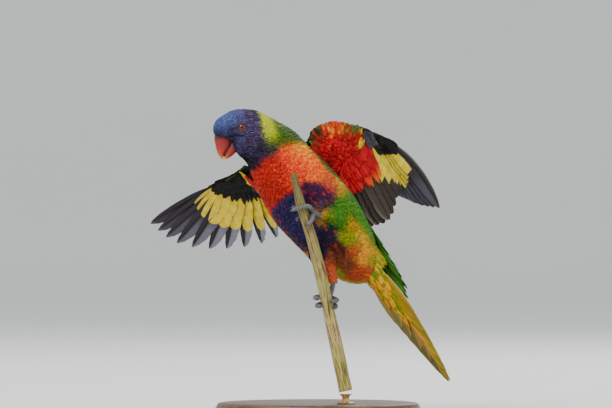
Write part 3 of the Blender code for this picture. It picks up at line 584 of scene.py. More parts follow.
def skin_material():
    """Painted hide with a fine goose-bump grain."""
    made, tree, place = new_material("painted hide", Roughness=0.75, Specular_IOR_Level=0.2)
    colour = tinted(tree, stored(tree, "plumage", "Color"), noise(tree, place, 260.0, 4.0), 0.55, 1.1)
    coated(tree, colour, cells(tree, place, 650.0), 0.5, 0.0003)
    return made


def make_skin():
    tubes = [(body_surface, HEAD_END, *SKIN_GRIDS["body"], plumage_depth)]
    for line in THIGHS.values():
        tubes.append((tube_surface(line), 3.0, *SKIN_GRIDS["thigh"], THIGH_SUNK))
    for wing in WINGS.values():
        tubes.append((arm_surface(wing), 4.0, *SKIN_GRIDS["arm"], ARM_SUNK))
        tubes.append((tube_surface(hand_rows(wing)), 3.0, *SKIN_GRIDS["hand"], HAND_SUNK))
    bodies = []
    for surface, last, rows, around, sunk in tubes:
        at, turn = grid_of(0.0, last, rows, around)
        depth = sunk(at) if callable(sunk) else np.full_like(at, sunk)
        bodies.append(closed_tube(surface(at, turn, -depth)))
    skin = mesh_object("skin", *one_mesh(bodies))
    fuse = skin.modifiers.new("fuse", "REMESH")
    fuse.mode = "VOXEL"
    fuse.voxel_size = SKIN_GRAIN
    fuse.use_smooth_shade = True
    skin.modifiers.new("relax", "SMOOTH").iterations = 3
    applied(skin)
    points = np.empty(len(skin.data.vertices) * 3, np.float32)
    skin.data.vertices.foreach_get("co", points)
    points = narrowed_face(points.reshape(-1, 3).astype(float))
    skin.data.vertices.foreach_set("co", points.astype(np.float32).ravel())
    main, stray, share = markings(points)
    # The skin carries the markings' colours, darkened as painted shade deep among the feathers
    paint_points(skin, "plumage", SKIN_SHADE * (main * (1 - share[:, None]) + stray * share[:, None]))
    skin.data.materials.append(skin_material())
    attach(skin, "root")
    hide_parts("torso", "neck", "head", "thigh_left", "thigh_right")


make_skin()

# The feathers of the body
# Soft contour feathers on breast, belly, back and flanks, laid in rows like shingles from the head to
# the tail. Each is a cupped vane with a frayed tip, set into the skin by its root and lying on the next.

# Stations, and there a feather's length, width and the step from row to row, in millimetres
BODY_FEATHERS_AT = (0.0, 1.0, 3.0, 5.0, 5.8, 6.6, 7.2)
BODY_LENGTHS = (12.0, 13.0, 13.0, 12.0, 9.0, 6.5, 5.0)
BODY_WIDTHS = (5.0, 5.4, 5.4, 5.0, 4.2, 3.2, 2.4)
BODY_STEPS = (2.2, 2.3, 2.3, 2.1, 1.7, 1.3, 1.0)
# Where the blue of the head ends, by degrees from the middle of the back
HEAD_EDGE_TURN = (0, 34, 58, 81, 101, 110, 119, 130, 142, 152, 172, 180)
HEAD_EDGE_AT = (7.25, 7.08, 6.95, 6.80, 6.50, 6.25, 5.86, 5.82, 5.90, 5.97, 6.25, 6.30)
# Side of the patch that each feather has on the OFBake map
PATCH = 0.003
RUFFLE = 3.4 * MM
RUFFLE_AT = 6.0
RUFFLE_REACH = 0.55


def vane_outline(rows, breadths, columns, roundness, notch):
    """Shares along and across of a vane's grid, and its triangles, closed below from edge to edge.

    A point's share along is its row's less roundness·|t|^1.6·row², with every second column of the last row
    drawn back by notch, and its share across is t times the row's breadth.
    """
    rows, breadths = np.array(rows)[:, None], np.array(breadths)[:, None]
    t = np.linspace(-1, 1, columns)[None, :]
    s = rows - roundness * np.abs(t) ** 1.6 * rows**2
    s[-1, 1::2] -= notch
    across = t * breadths
    count = len(rows)
    a = ring_corners(count, columns)[0][:, :-1].ravel()
    left = np.arange(count - 1) * columns
    right = left + columns - 1
    c = np.arange(1, columns - 1)
    zero, tip = np.zeros_like(c), (count - 1) * columns + np.zeros_like(c)
    faces = [(a, a + columns, a + columns + 1), (a, a + columns + 1, a + 1),
             (left, right + columns, left + columns),
             (left, right, right + columns), (zero, c, c + 1), (tip, tip + c + 1, tip + c)]
    return s.ravel(), across.ravel(), np.concatenate([np.stack(face, -1) for face in faces]), columns


BODY_VANE = vane_outline((0.0, 0.42, 0.80, 1.0), (0.30, 0.88, 1.0, 0.62), 7, 0.16, 0.06)


def surface_axes(surface, at, turn):
    """Root place, steps along and round the surface, and the way out of it, at each root."""
    step = 1e-3
    zero = np.zeros_like(at)
    place = surface(at, turn, zero)
    along = (surface(at + step, turn, zero) - surface(at - step, turn, zero)) / (2 * step)
    around = (surface(at, turn + step, zero) - surface(at, turn - step, zero)) / (2 * step)
    away = unit(surface(at, turn, zero + MM) - place)
    normal = unit(np.cross(along, around))
    return place, along, around, normal * np.sign(np.sum(normal * away, -1, keepdims=True))


def lay_feathers(surface, at, turn, lie, length, width, heights, cup, outline, ragged, draw):
    """Points of feathers that lie on a surface and bend with it.

    A point s along a feather and t across it stands over the root's place moved along the surface by
    lie·s·length + side·t·half width, at root height + (tip height - root height)·s - cup·t².
    """
    s, t, _, columns = outline
    _, along, around, out = surface_axes(surface, at, turn)
    lie = square_to(lie, out)
    side = np.cross(out, lie)
    s = np.repeat(s[None], len(at), 0)
    s[:, -columns:] += ragged[:, None] * draw.normal(size=(len(at), columns))
    reach, aside = s * length[:, None], t[None] * width[:, None] / 2
    on_along = reach * np.sum(lie * along, -1)[:, None] + aside * np.sum(side * along, -1)[:, None]
    on_around = reach * np.sum(lie * around, -1)[:, None] + aside * np.sum(side * around, -1)[:, None]
    a, b, c = (np.sum(v * w, -1)[:, None] for v, w in ((along, along), (along, around), (around, around)))
    whole = a * c - b * b
    roll = draw.normal(0, 0.12, (len(at), 1)) * MM * t[None]
    height = heights[0][:, None] * (1 - s) + heights[1][:, None] * s - cup[:, None] * t[None] ** 2 + roll
    return surface(at[:, None] + (c * on_along - b * on_around) / whole,
                   turn[:, None] + (a * on_around - b * on_along) / whole, height)


def corner_map(obj, name, uv):
    """A UV map from one place for each corner."""
    obj.data.uv_layers.new(name=name).data.foreach_set("uv", uv.astype(np.float32).ravel())


def feather_object(name, points, outline, colours, unwrap, material):
    """All feathers of a coat piece in one mesh.

    Its OFBake map gives each feather a patch of its own round its root's place on the unwrapped skin, and its
    vane map runs 0 to 1 across and along every feather.
    """
    s, t, faces, _ = outline
    count, corners = points.shape[:2]
    every = (faces[None] + np.arange(count)[:, None, None] * corners).reshape(-1, 3)
    made = mesh_object(name, points.reshape(-1, 3), every)
    paint_points(made, "plumage", colours.reshape(-1, 3))
    patch = np.clip(unwrap, 0, 1)[:, None] * 0.98 + 0.01 + np.stack([t / 2, s - 0.5], -1)[None] * PATCH
    vane = np.repeat(np.stack([t / 2 + 0.5, s], -1)[None], count, 0)
    for title, uv in (("OFBake", patch), ("vane", vane)):
        corner_map(made, title, uv.reshape(-1, 2)[every.ravel()])
    made.data.materials.append(material)
    return made


def rows_of_roots(surface, first, last, step, draw):
    """Roots in rows on a surface, a step apart along it and round it, each nudged by up to a quarter step."""
    at, turn, here, odd = [], [], first, 0
    while here < last:
        ring = surface(np.full(65, here), np.linspace(0, 2 * math.pi, 65), np.zeros(65))
        gap = float(step(here))
        count = max(int(np.linalg.norm(np.diff(ring, axis=0), axis=1).sum() / gap), 5)
        nudge = draw.uniform(-0.25, 0.25, (2, count))
        stride = np.linalg.norm(surface(np.full(8, here + 0.01), np.arange(8.0), np.zeros(8))
                                - surface(np.full(8, here), np.arange(8.0), np.zeros(8)),
                                axis=1).mean() / 0.01
        at.append(here + nudge[0] * gap / stride)
        turn.append((np.arange(count) + 0.5 * odd + nudge[1]) * 2 * math.pi / count)
        here += gap / stride
        odd = 1 - odd
    return np.concatenate(at), np.concatenate(turn)


def shaded(colours, outline, root, rise, power, edge):
    """colours·(root + (1 - root)·min(rise·s, 1)^power)·(1 - edge·t²), darker at a feather's root and edge."""
    s, t = outline[:2]
    shade = (root + (1 - root) * np.clip(s * rise, 0, 1) ** power) * (1 - edge * t**2)
    return colours * shade[None, :, None]


def feather_colours(places, outline, draw, base_shade, edge_shade, spread):
    """Each feather's colour: a mark's main or stray one, darker to its root and edges, a little varied."""
    main, stray, share = markings(places)
    grown = (draw.random(len(places)) < share) * draw.uniform(0.1, 0.7, len(places))
    chosen = main + (stray - main) * grown[:, None]
    chosen = chosen * np.exp(draw.normal(0, spread, (len(places), 1)))
    chosen = chosen * np.exp(draw.normal(0, spread / 3, (len(places), 3)))
    return shaded(chosen[:, None], outline, base_shade, 1.0, 0.8, edge_shade)


def reckoned(tree, operation, *values):
    """The shader's own sum of values or sockets."""
    return add_node(tree, "ShaderNodeMath", dict(enumerate(values)), operation=operation).outputs[0]


def feather_material(name, barbs, roughness, sheen):
    """Feather of the painted colour, with slanting barbs either side of the shaft on the vane map."""
    made, tree, place = new_material(name, Roughness=roughness, Specular_IOR_Level=0.06, Sheen_Weight=sheen,
                                     Sheen_Roughness=0.45)
    vane = add_node(tree, "ShaderNodeUVMap", uv_map="vane").outputs["UV"]
    parts = add_node(tree, "ShaderNodeSeparateXYZ", {0: vane}).outputs
    off_shaft = reckoned(tree, "ABSOLUTE", reckoned(tree, "SUBTRACT", parts[0], 0.5))
    slant = reckoned(tree, "MULTIPLY_ADD", off_shaft, -0.9, parts[1])
    line = add_node(tree, "ShaderNodeCombineXYZ", {0: slant}).outputs[0]
    barb = add_node(tree, "ShaderNodeTexWave", {"Vector": line, "Scale": barbs, "Distortion": 1.2,
                                                "Detail": 1.0, "Detail Scale": 2.0}).outputs[1]
    streaked = tinted(tree, stored(tree, "plumage", "Color"), barb, 0.86, 1.06)
    coated(tree, tinted(tree, streaked, noise(tree, place, 420.0, 3.0), 0.86, 1.14), barb, 0.35, 0.00015)
    return made


CONTOUR_FEATHER = feather_material("soft contour feather", 5.0, 0.66, 0.03)


def off_back(turn):
    """Degrees from the middle of the back, the same to both sides."""
    return np.abs(np.degrees((turn + math.pi) % (2 * math.pi) - math.pi))


def measured(at, stations, row, draw, low, high):
    """Millimetres between those at the stations, each varied by a factor from low to high."""
    return np.interp(at, stations, row) * MM * draw.uniform(low, high, len(at))


def make_body_feathers():
    draw = np.random.default_rng(11)
    at, turn = rows_of_roots(body_surface, 0.25, 7.3,
                             lambda u: np.interp(u, BODY_FEATHERS_AT, BODY_STEPS) * MM, draw)
    keep = at < np.interp(off_back(turn), HEAD_EDGE_TURN, HEAD_EDGE_AT) + 0.12
    at, turn = at[keep], turn[keep]
    degrees = off_back(turn)
    place, along, around, _ = surface_axes(body_surface, at, turn)
    lie = -unit(along) + unit(around) * draw.normal(0, 0.10, (len(at), 1))
    length = measured(at, BODY_FEATHERS_AT, BODY_LENGTHS, draw, 0.85, 1.15)
    width = measured(at, BODY_FEATHERS_AT, BODY_WIDTHS, draw, 0.85, 1.15)
    # The mantle is ruffled up behind the collar, because the head is turned
    ruffled = RUFFLE * np.exp(-(((at - RUFFLE_AT) / RUFFLE_REACH) ** 2)) * np.clip(np.cos(turn) + 0.25, 0, 1)
    heights = (-0.55 * plumage_depth(at) - 0.1 * MM,
               draw.normal(0.0, 0.07, len(at)) * MM - 0.05 * MM + ruffled)
    soft = np.interp(degrees, (60, 130), (0.03, 0.07))
    points = lay_feathers(body_surface, at, turn, lie, length, width, heights, width * 0.10, BODY_VANE, soft,
                          draw)
    colours = feather_colours(place + unit(lie) * length[:, None] * 0.75, BODY_VANE, draw, 0.92, 0.04, 0.05)
    unwrap = np.stack([(turn / (2 * math.pi)) % 1, at / HEAD_END], -1)
    for name, chosen in (("back_feathers", degrees < 75),
                         ("flank_feathers", (degrees >= 75) & (degrees < 125)),
                         ("breast_feathers", degrees >= 125)):
        piece = feather_object(name, points[chosen], BODY_VANE, colours[chosen], unwrap[chosen],
                               CONTOUR_FEATHER)
        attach(piece, "root")


make_body_feathers()

# The feathers of the head
# Short, narrow feathers with pale shafts, blue to violet, that grow back from the bill and part round the
# eyes. They are the finest of the bird, and longest on the nape, where their tips lie over the collar.

EYE_PLACE = (-0.0015, 0.0025, 0.0133)
EYE_RADIUS = 0.0044
EYE_CLEAR = 0.0041
UPPER_BILL = (
    (0.0126, -0.0002, 0.0082, 0.0064), (0.0137, -0.0042, 0.0083, 0.0066), (0.0154, -0.0083, 0.0072, 0.0062),
    (0.0174, -0.0121, 0.0050, 0.0051), (0.0186, -0.0154, 0.0029, 0.0037), (0.0187, -0.0183, 0.0014, 0.0020),
    (0.0181, -0.0206, 0.0004, 0.0006),
)
LOWER_BILL = (
    (0.0050, -0.0100, 0.0048, 0.0056), (0.0088, -0.0138, 0.0044, 0.0054), (0.0122, -0.0171, 0.0034, 0.0044),
    (0.0148, -0.0194, 0.0019, 0.0029), (0.0165, -0.0205, 0.0005, 0.0011),
)
TONGUE = (
    (0.0040, -0.0065, 0.0038, 0.0050), (0.0095, -0.0114, 0.0032, 0.0046), (0.0138, -0.0152, 0.0023, 0.0035),
    (0.0169, -0.0184, 0.0009, 0.0016),
)
CERE_PLACE = (0.0172, -0.0016)
CERE_SIZE = (0.0042, 0.0062, 0.0027)
HEAD_FEATHERS_AT = (5.8, 6.6, 7.5, 8.5, 9.4, 10.2, 11.0)
HEAD_LENGTHS = (8.5, 7.5, 6.4, 5.0, 3.6, 2.5, 1.7)
HEAD_WIDTHS = (2.5, 2.3, 2.1, 1.9, 1.5, 1.1, 0.8)
HEAD_STEPS = (1.30, 1.15, 1.00, 0.84, 0.66, 0.52, 0.45)
HEAD_LINES = 84
HEAD_FIRST = 5.7
HEAD_LAST = 10.9
SHAFT_GLEAM = (0.022, 0.018, 0.030)
# How near to cere and bill feathers may root, as shares of their sizes, and how far inside the face's window
CERE_CLEAR = 0.96
BILL_CLEAR = 0.90
WINDOW_CLEAR = 0.3
# How far round an eye the lie is bent, in its own clearance, and the least share of a length that is left
FLOW_REACH = 4.5
LEAST_LENGTH = 0.35
STRIPE_UP = -1.4
STRIPE_WIDTH = 1.2
STRIPE_SHADE = 0.85
HEAD_VANE = vane_outline((0.0, 0.38, 0.76, 1.0), (0.45, 1.0, 0.80, 0.10), 3, 0.05, 0.0)


def head_point(ahead, up, left):
    """Skull's centre + forward·ahead + up·up + left·left."""
    return SKULL + FORWARD * ahead + UP * up + LEFT * left


def eye_centre(sign):
    return head_point(EYE_PLACE[0], EYE_PLACE[1], sign * EYE_PLACE[2])


def clear_of_face(points):
    """False where a root would stand in an eye, the cere or the bill."""
    keep = np.ones(len(points), bool)
    for sign in (1, -1):
        keep &= np.linalg.norm(points - eye_centre(sign), axis=1) > EYE_CLEAR
    off = points - head_point(*CERE_PLACE, 0)
    sized = np.stack([off @ FORWARD / CERE_SIZE[0], off @ LEFT / CERE_SIZE[1], off @ UP / CERE_SIZE[2]], -1)
    keep &= np.linalg.norm(sized, axis=1) > CERE_CLEAR
    keep &= before_face(points) < WINDOW_CLEAR
    for sections in (UPPER_BILL, LOWER_BILL):
        rows = curve_through(sections, np.linspace(0, len(sections) - 1, 24))
        for ahead, up, thick, wide in rows:
            off = points - head_point(ahead, up, 0)
            round_it = np.hypot(off @ LEFT / wide, np.hypot(off @ FORWARD, off @ UP) / thick)
            keep &= round_it > BILL_CLEAR
    return keep


def round_the_eyes(place, lie, out, length):
    """The feathers' lie bent round each eye as water flows round a post, and their lengths cut short of it.

    With x behind and y beside the eye, the flow is (1 - R²(x² - y²)/r⁴, -2R²xy/r⁴).
    """
    for sign in (1, -1):
        off = place - eye_centre(sign)
        side = np.cross(out, lie)
        x, y = np.sum(off * lie, -1), np.sum(off * side, -1)
        r2 = np.maximum(x * x + y * y, EYE_CLEAR**2)
        bend = EYE_CLEAR**2 / r2**2
        near = (np.linalg.norm(off, axis=1) < FLOW_REACH * EYE_CLEAR)[:, None]
        turned = lie * (1 - bend * (x * x - y * y))[:, None] - side * (2 * bend * x * y)[:, None]
        lie = np.where(near, unit(turned), lie)
        tip = np.linalg.norm(off + lie * length[:, None], axis=1)
        room = np.maximum(np.linalg.norm(off, axis=1) - EYE_CLEAR, LEAST_LENGTH * length)
        length = np.where((tip < EYE_CLEAR * 1.05), np.minimum(length, room), length)
    return lie, length


HEAD_FEATHER = feather_material("silky head feather", 4.0, 0.55, 0.03)


def make_head_feathers():
    draw = np.random.default_rng(23)
    # Feathers stand in lines from the bill to the nape, so that their pale shafts run on into streaks
    rows = [HEAD_FIRST]
    while rows[-1] < HEAD_LAST:
        ring = body_surface(np.array((rows[-1], rows[-1] + 0.01)), np.array((1.5, 1.5)), np.zeros(2))
        stride = np.linalg.norm(ring[1] - ring[0])
        rows.append(rows[-1] + np.interp(rows[-1], HEAD_FEATHERS_AT, HEAD_STEPS) * MM * 0.01 / stride)
    lines = np.arange(HEAD_LINES)
    late = draw.random(HEAD_LINES)
    at = np.array(rows[:-1])[:, None] + late[None] * np.diff(rows)[:, None]
    turn = (lines[None] + draw.normal(0, 0.10, at.shape)) * 2 * math.pi / HEAD_LINES
    at, turn = at.ravel(), turn.ravel()
    keep = at > np.interp(off_back(turn), HEAD_EDGE_TURN, HEAD_EDGE_AT) + 0.10
    keep &= clear_of_face(body_surface(at, turn, np.zeros_like(at)))
    at, turn = at[keep], turn[keep]
    place, along, around, out = surface_axes(body_surface, at, turn)
    lie = unit(-unit(along) + unit(around) * draw.normal(0, 0.05, (len(at), 1)))
    length = measured(at, HEAD_FEATHERS_AT, HEAD_LENGTHS, draw, 0.85, 1.15)
    lie, length = round_the_eyes(place, lie, out, length)
    width = measured(at, HEAD_FEATHERS_AT, HEAD_WIDTHS, draw, 0.8, 1.2)
    heights = (-plumage_depth(at) - 0.15 * MM, draw.normal(0.02, 0.08, len(at)) * MM)
    ragged = np.full(len(at), 0.05)
    points = lay_feathers(body_surface, at, turn, lie, length, width, heights, width * 0.22, HEAD_VANE,
                          ragged, draw)
    colours = feather_colours(place + lie * length[:, None] * 0.7, HEAD_VANE, draw, 0.6, 0.0, 0.10)
    s, t = HEAD_VANE[:2]
    pale = np.interp(at, (6.0, 8.5, 10.0), (1.0, 1.0, 0.8)) * draw.uniform(0.5, 1.5, len(at))
    shaft = pale[:, None] * np.where(np.abs(t) < 0.01, 1.0, 0.0)[None] * np.clip(s * 1.5, 0, 1)[None]
    colours = colours * (0.44 + 1.7 * shaft[..., None]) + shaft[..., None] * np.array(SHAFT_GLEAM)
    # The dark stripe from the eye to the bill
    off = (place - SKULL) / MM
    dark = np.exp(-(((off @ UP - STRIPE_UP) / STRIPE_WIDTH) ** 2)) * np.clip((off @ FORWARD - 0.5) / 2, 0, 1)
    colours = colours * (1 - STRIPE_SHADE * dark[:, None, None])
    unwrap = np.stack([(turn / (2 * math.pi)) % 1, at / HEAD_END], -1)
    above = off_back(turn) < 90
    for name, chosen in (("crown_feathers", above), ("face_feathers", ~above)):
        piece = feather_object(name, points[chosen], HEAD_VANE, colours[chosen], unwrap[chosen], HEAD_FEATHER)
        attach(piece, "root")


make_head_feathers()

# The eyes
# Glass museum eyes: a ball with a clear bulged front, a dark pupil and a red-orange iris, held in two
# leathery lids with a rim of small warts.

IRIS_ANGLE = 40.0
LID_RADIUS = 0.0037
LID_THICK = 0.0007
LID_AHEAD = 0.0024
WARTS = 23
WART_HEIGHT = 0.22
EYE_BULGE = 0.05
BULGE_ANGLE = 26.0
EYE_GRID = (72, 48)
LID_GRID = (96, 14)


def looking(sign):
    """The way the eye faces: mostly to its side, a little ahead and up."""
    return unit(LEFT * sign + FORWARD * 0.18 + UP * 0.08)


def eye_axes(sign):
    ahead = looking(sign)
    up = square_to(UP, ahead)
    return np.cross(up, ahead), up, ahead


def ramp(tree, factor, *stops):
    """A colour by factor, straight between stops, each a place and a colour."""
    made = add_node(tree, "ShaderNodeValToRGB", {0: factor})
    elements = made.color_ramp.elements
    for element, (at, colour) in zip(elements, (stops[0], stops[-1])):
        element.position, element.color = at, (*colour, 1)
    for at, colour in stops[1:-1]:
        elements.new(at).color = (*colour, 1)
    return made.outputs[0]


def number_points(obj, name, values):
    """Stores a number for each point."""
    obj.data.attributes.new(name, "FLOAT", "POINT").data.foreach_set("value", values.astype(np.float32))


def body_object(name, bodies, material):
    """Closed bodies of one material in one smooth mesh."""
    made = mesh_object(name, *one_mesh(bodies))
    made.data.materials.append(material)
    return made


def eye_material():
    """Pupil, iris and rim as rings by the angle from the eye's middle, with a fine mottle over them."""
    made, tree, place = new_material("glass eye", Roughness=0.3, Specular_IOR_Level=0.2, Coat_Weight=0.3,
                                     Coat_Roughness=0.05)
    rings = ramp(tree, stored(tree, "from_pupil"), (0.0, (0.004, 0.003, 0.003)),
                 (0.25, (0.004, 0.003, 0.003)), (0.31, (0.06, 0.008, 0.006)), (0.46, (0.15, 0.010, 0.007)),
                 (0.72, (0.10, 0.007, 0.006)), (0.86, (0.030, 0.006, 0.008)), (1.0, (0.008, 0.006, 0.008)))
    coated(tree, tinted(tree, rings, noise(tree, place, 1500.0, 2.0), 0.7, 1.3))
    return made


def lid_material():
    """Dark red-brown leathery skin."""
    made, tree, place = new_material("lid leather", Roughness=0.55)
    cloud = noise(tree, place, 900.0, 3.0)
    coated(tree, ramp(tree, cloud, (0.0, (0.010, 0.006, 0.009)), (1.0, (0.036, 0.016, 0.020))), cloud, 0.4,
           0.0002)
    return made


def make_eyes():
    glass, leather = eye_material(), lid_material()
    for side, sign in (("left", 1), ("right", -1)):
        across, up, ahead = eye_axes(sign)
        angle = np.linspace(0.02, math.pi - 0.02, EYE_GRID[0])[:, None]
        radius = EYE_RADIUS * (1 + EYE_BULGE * np.exp(-((np.degrees(angle) / BULGE_ANGLE) ** 2)))
        rings = circle(across, up, full_turn(EYE_GRID[1])[None])
        rings = eye_centre(sign) + (radius * np.sin(angle))[..., None] * rings
        rings = rings + ahead * (radius * np.cos(angle))[..., None]
        eye = body_object("eyeball_" + side, [closed_tube(rings)], glass)
        reach = np.concatenate([np.repeat(np.degrees(angle), EYE_GRID[1]), [0, 180]])
        number_points(eye, "from_pupil", reach / (IRIS_ANGLE * 1.2))
        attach(eye, "root")
        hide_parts("eye_" + side)
        # The lids: a ring drawn a little long to the front and rear corners, with warts round it
        rows, around = LID_GRID
        turn, small = full_turn(rows)[:, None], full_turn(around)[None]
        warts = 1 + WART_HEIGHT * np.sin(turn * WARTS) * np.cos(small)
        thick = LID_THICK * warts * (1 + 0.25 * np.sin(turn) ** 2)
        radius = LID_RADIUS * (1 + 0.07 * np.cos(2 * turn)) + thick * np.cos(small)
        out = LID_AHEAD - 0.0004 * np.cos(2 * turn) + thick * np.sin(small)
        rim = eye_centre(sign) + ahead * out[..., None]
        rim = rim + circle(across, up, turn) * radius[..., None]
        a, b = ring_corners(rows + 1, around)
        c, d = (a + around) % (rows * around), (b + around) % (rows * around)
        faces = np.stack([a, b, d, a, d, c], -1).reshape(-1, 3)
        lid = body_object("eyelid_" + side, [(rim.reshape(-1, 3), faces)], leather)
        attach(lid, "root")


make_eyes()

# The bill and the cere
# Two horny halves, the upper one hooked over the lower, orange-red and paler to the tip, set in a soft
# dark band, the cere, that holds the nostrils. The halves stand a little open.

BILL_GRID = (60, 36)
CERE_GRID = (40, 56)
NOSTRIL = (0.45, 0.55, 0.50)
NOSTRIL_DEPTH = 0.30
NOSTRIL_ANGLE = 11.0


def horn_material():
    """Orange-red horn, dark at the root and yellower to the tip, with growth lines and a waxy coat."""
    made, tree, place = new_material("bill horn", Roughness=0.42, Specular_IOR_Level=0.3, Coat_Weight=0.12,
                                     Coat_Roughness=0.3, Subsurface_Weight=0.05,
                                     Subsurface_Radius=(0.002, 0.0008, 0.0004))
    cloud = noise(tree, place, 380.0, 5.0, Roughness=0.6)
    nudged = reckoned(tree, "MULTIPLY_ADD", cloud, 0.16, stored(tree, "to_tip"))
    colour = ramp(tree, nudged, (0.0, (0.04, 0.004, 0.006)), (0.14, (0.17, 0.006, 0.011)),
                  (0.50, (0.26, 0.008, 0.011)), (0.78, (0.42, 0.036, 0.005)), (1.0, (0.56, 0.20, 0.010)))
    lines = add_node(tree, "ShaderNodeTexWave", {"Vector": place, "Scale": 420.0, "Distortion": 3.0,
                                                 "Detail": 2.0}, bands_direction="Z").outputs[1]
    coated(tree, tinted(tree, colour, cloud, 0.75, 1.2), lines, 0.12, 0.0001)
    return made


def bill_rings(sections, keel):
    """Ovals square to the half's own curve in the head's middle plane, flattened at the sides to a keel.

    head point + left·half width·cos|cos|^keel + across·half thickness·sin(turn)
    """
    at = np.linspace(0, len(sections) - 1, BILL_GRID[0])
    rows = curve_through(sections, at)
    after, before = np.minimum(at + 0.05, at[-1]), np.maximum(at - 0.05, 0)
    step = curve_through(sections, after) - curve_through(sections, before)
    run = unit(step[:, :1] * FORWARD + step[:, 1:2] * UP)
    across = np.cross(LEFT, run)
    turn = full_turn(BILL_GRID[1])
    cosine = np.sign(np.cos(turn)) * np.abs(np.cos(turn)) ** keel
    centre = SKULL + rows[:, :1] * FORWARD + rows[:, 1:2] * UP
    rings = centre[:, None] + LEFT * (rows[:, 3:4] * cosine[None])[..., None]
    return rings + across[:, None] * (rows[:, 2:3] * np.sin(turn)[None])[..., None]


def tongue_material():
    """Dark wet flesh, deepened to near black as painted shade inside the open bill."""
    made, tree, place = new_material("tongue in mouth shade", Roughness=0.35)
    coated(tree, ramp(tree, noise(tree, place, 800.0, 3.0), (0.0, (0.006, 0.003, 0.003)),
                      (1.0, (0.030, 0.008, 0.008))))
    return made


def make_bill():
    horn = horn_material()
    # The tongue fills the gap between the open halves, its near black the painted shade inside the mouth
    tongue = body_object("tongue", [closed_tube(bill_rings(TONGUE, 1.0))], tongue_material())
    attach(tongue, "root")
    for name, node, sections, keel in (("beak_upper", "bill_upper", UPPER_BILL, 1.12),
                                       ("beak_lower", "bill_lower", LOWER_BILL, 0.9)):
        half = body_object(name, [closed_tube(bill_rings(sections, keel))], horn)
        rows, around = BILL_GRID
        number_points(half, "to_tip", np.concatenate([np.repeat(np.linspace(0, 1, rows), around), [0, 1]]))
        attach(half, "root")
        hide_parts(node)
    # The cere: an oval cushion with a dent for each nostril
    rows, around = CERE_GRID
    angle = np.linspace(0.02, math.pi - 0.02, rows)[:, None]
    turn = full_turn(around)[None]
    ball = [np.cos(turn) * np.sin(angle), np.sin(turn) * np.sin(angle), np.cos(angle) + 0 * turn]
    ball = np.stack(ball, -1)
    size = np.ones(ball.shape[:2])
    for sign in (1, -1):
        nostril = unit(np.array((sign, 1, 1)) * NOSTRIL)
        away = np.degrees(np.arccos(np.clip(ball @ nostril, -1, 1)))
        size -= NOSTRIL_DEPTH * np.exp(-((away / NOSTRIL_ANGLE) ** 2))
    oval = ball[..., :1] * LEFT * CERE_SIZE[1] + ball[..., 1:2] * UP * CERE_SIZE[2]
    oval = oval + ball[..., 2:] * FORWARD * CERE_SIZE[0]
    rings = head_point(*CERE_PLACE, 0) + size[..., None] * oval
    cere = body_object("cere", [closed_tube(rings)], bpy.data.materials["lid leather"])
    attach(cere, "root")


make_bill()

# The thighs
# Short soft feathers over both thighs, green on the left one and violet to orange-red on the right one, that
# run down to the ankles and end in a small cuff there. They grow like the body's and share its markings.

THIGH_FEATHERS_AT = (0.0, 1.0, 2.0, 3.0)
THIGH_LENGTHS = (9.0, 7.5, 5.5, 4.0)
THIGH_WIDTHS = (4.2, 3.6, 2.8, 2.0)
THIGH_STEPS = (1.9, 1.6, 1.2, 0.8)


def make_thigh_feathers():
    draw = np.random.default_rng(31)
    for side, line in THIGHS.items():
        surface = tube_surface(line)
        at, turn = rows_of_roots(surface, 0.0, 2.95,
                                 lambda u: np.interp(u, THIGH_FEATHERS_AT, THIGH_STEPS) * MM, draw)
        place, along, around, _ = surface_axes(surface, at, turn)
        lie = unit(along) + unit(around) * draw.normal(0, 0.2, (len(at), 1))
        length = measured(at, THIGH_FEATHERS_AT, THIGH_LENGTHS, draw, 0.8, 1.2)
        width = measured(at, THIGH_FEATHERS_AT, THIGH_WIDTHS, draw, 0.85, 1.15)
        heights = (np.full(len(at), -1.7 * MM), draw.normal(0.0, 0.25, len(at)) * MM)
        points = lay_feathers(surface, at, turn, lie, length, width, heights, width * 0.10, BODY_VANE,
                              np.full(len(at), 0.07), draw)
        seen = place + unit(lie) * length[:, None] * 0.7
        colours = feather_colours(seen, BODY_VANE, draw, 0.62, 0.14, 0.14)
        unwrap = np.stack([(turn / (2 * math.pi)) % 1, at / 3], -1)
        piece = feather_object("thigh_feathers_" + side, points, BODY_VANE, colours, unwrap, CONTOUR_FEATHER)
        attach(piece, "root")


make_thigh_feathers()

# The flight feathers
# Ten primaries on each hand and ten secondaries on each arm, stiff quills with a narrow leading and a
# broad trailing vane, fanned from the wing's bones. From below each lies over the next one inwards,
# and a yellow bar crosses the trailing vanes.

PRIMARIES = 10
SECONDARIES = 10
QUILLS = PRIMARIES + SECONDARIES
# Bar number where there is no bar
NO_BAR = -20.0
PRIMARY_LENGTHS = (0.082, 0.101, 0.118, 0.118)
SECONDARY_LENGTHS = (0.074, 0.073, 0.062, 0.050)
DROOP = 0.02
FEATHER_STEP = 0.0003
ROOT_SUNK = 0.004
PRIMARY_WIDTH = 0.0165
SECONDARY_WIDTH = 0.0160
# Share of the length, and the leading and trailing half widths as shares of the width
PRIMARY_OUTLINE = (
    (0.0, 0.04, 0.05), (0.07, 0.06, 0.10), (0.17, 0.18, 0.40), (0.40, 0.26, 0.62), (0.62, 0.25, 0.58),
    (0.82, 0.20, 0.47), (0.93, 0.13, 0.29), (0.98, 0.06, 0.13), (1.0, 0.01, 0.02),
)
SECONDARY_OUTLINE = (
    (0.0, 0.05, 0.06), (0.08, 0.08, 0.14), (0.2, 0.28, 0.46), (0.45, 0.34, 0.60), (0.80, 0.33, 0.57),
    (0.92, 0.26, 0.46), (0.98, 0.13, 0.24), (1.0, 0.02, 0.04),
)
# Places across a vane, from the trailing edge at -1 over the shaft to the leading edge at 1
ACROSS = np.array((-1.0, -0.78, -0.55, -0.32, -0.12, -0.05, 0.0, 0.07, 0.16, 0.42, 0.72, 1.0))
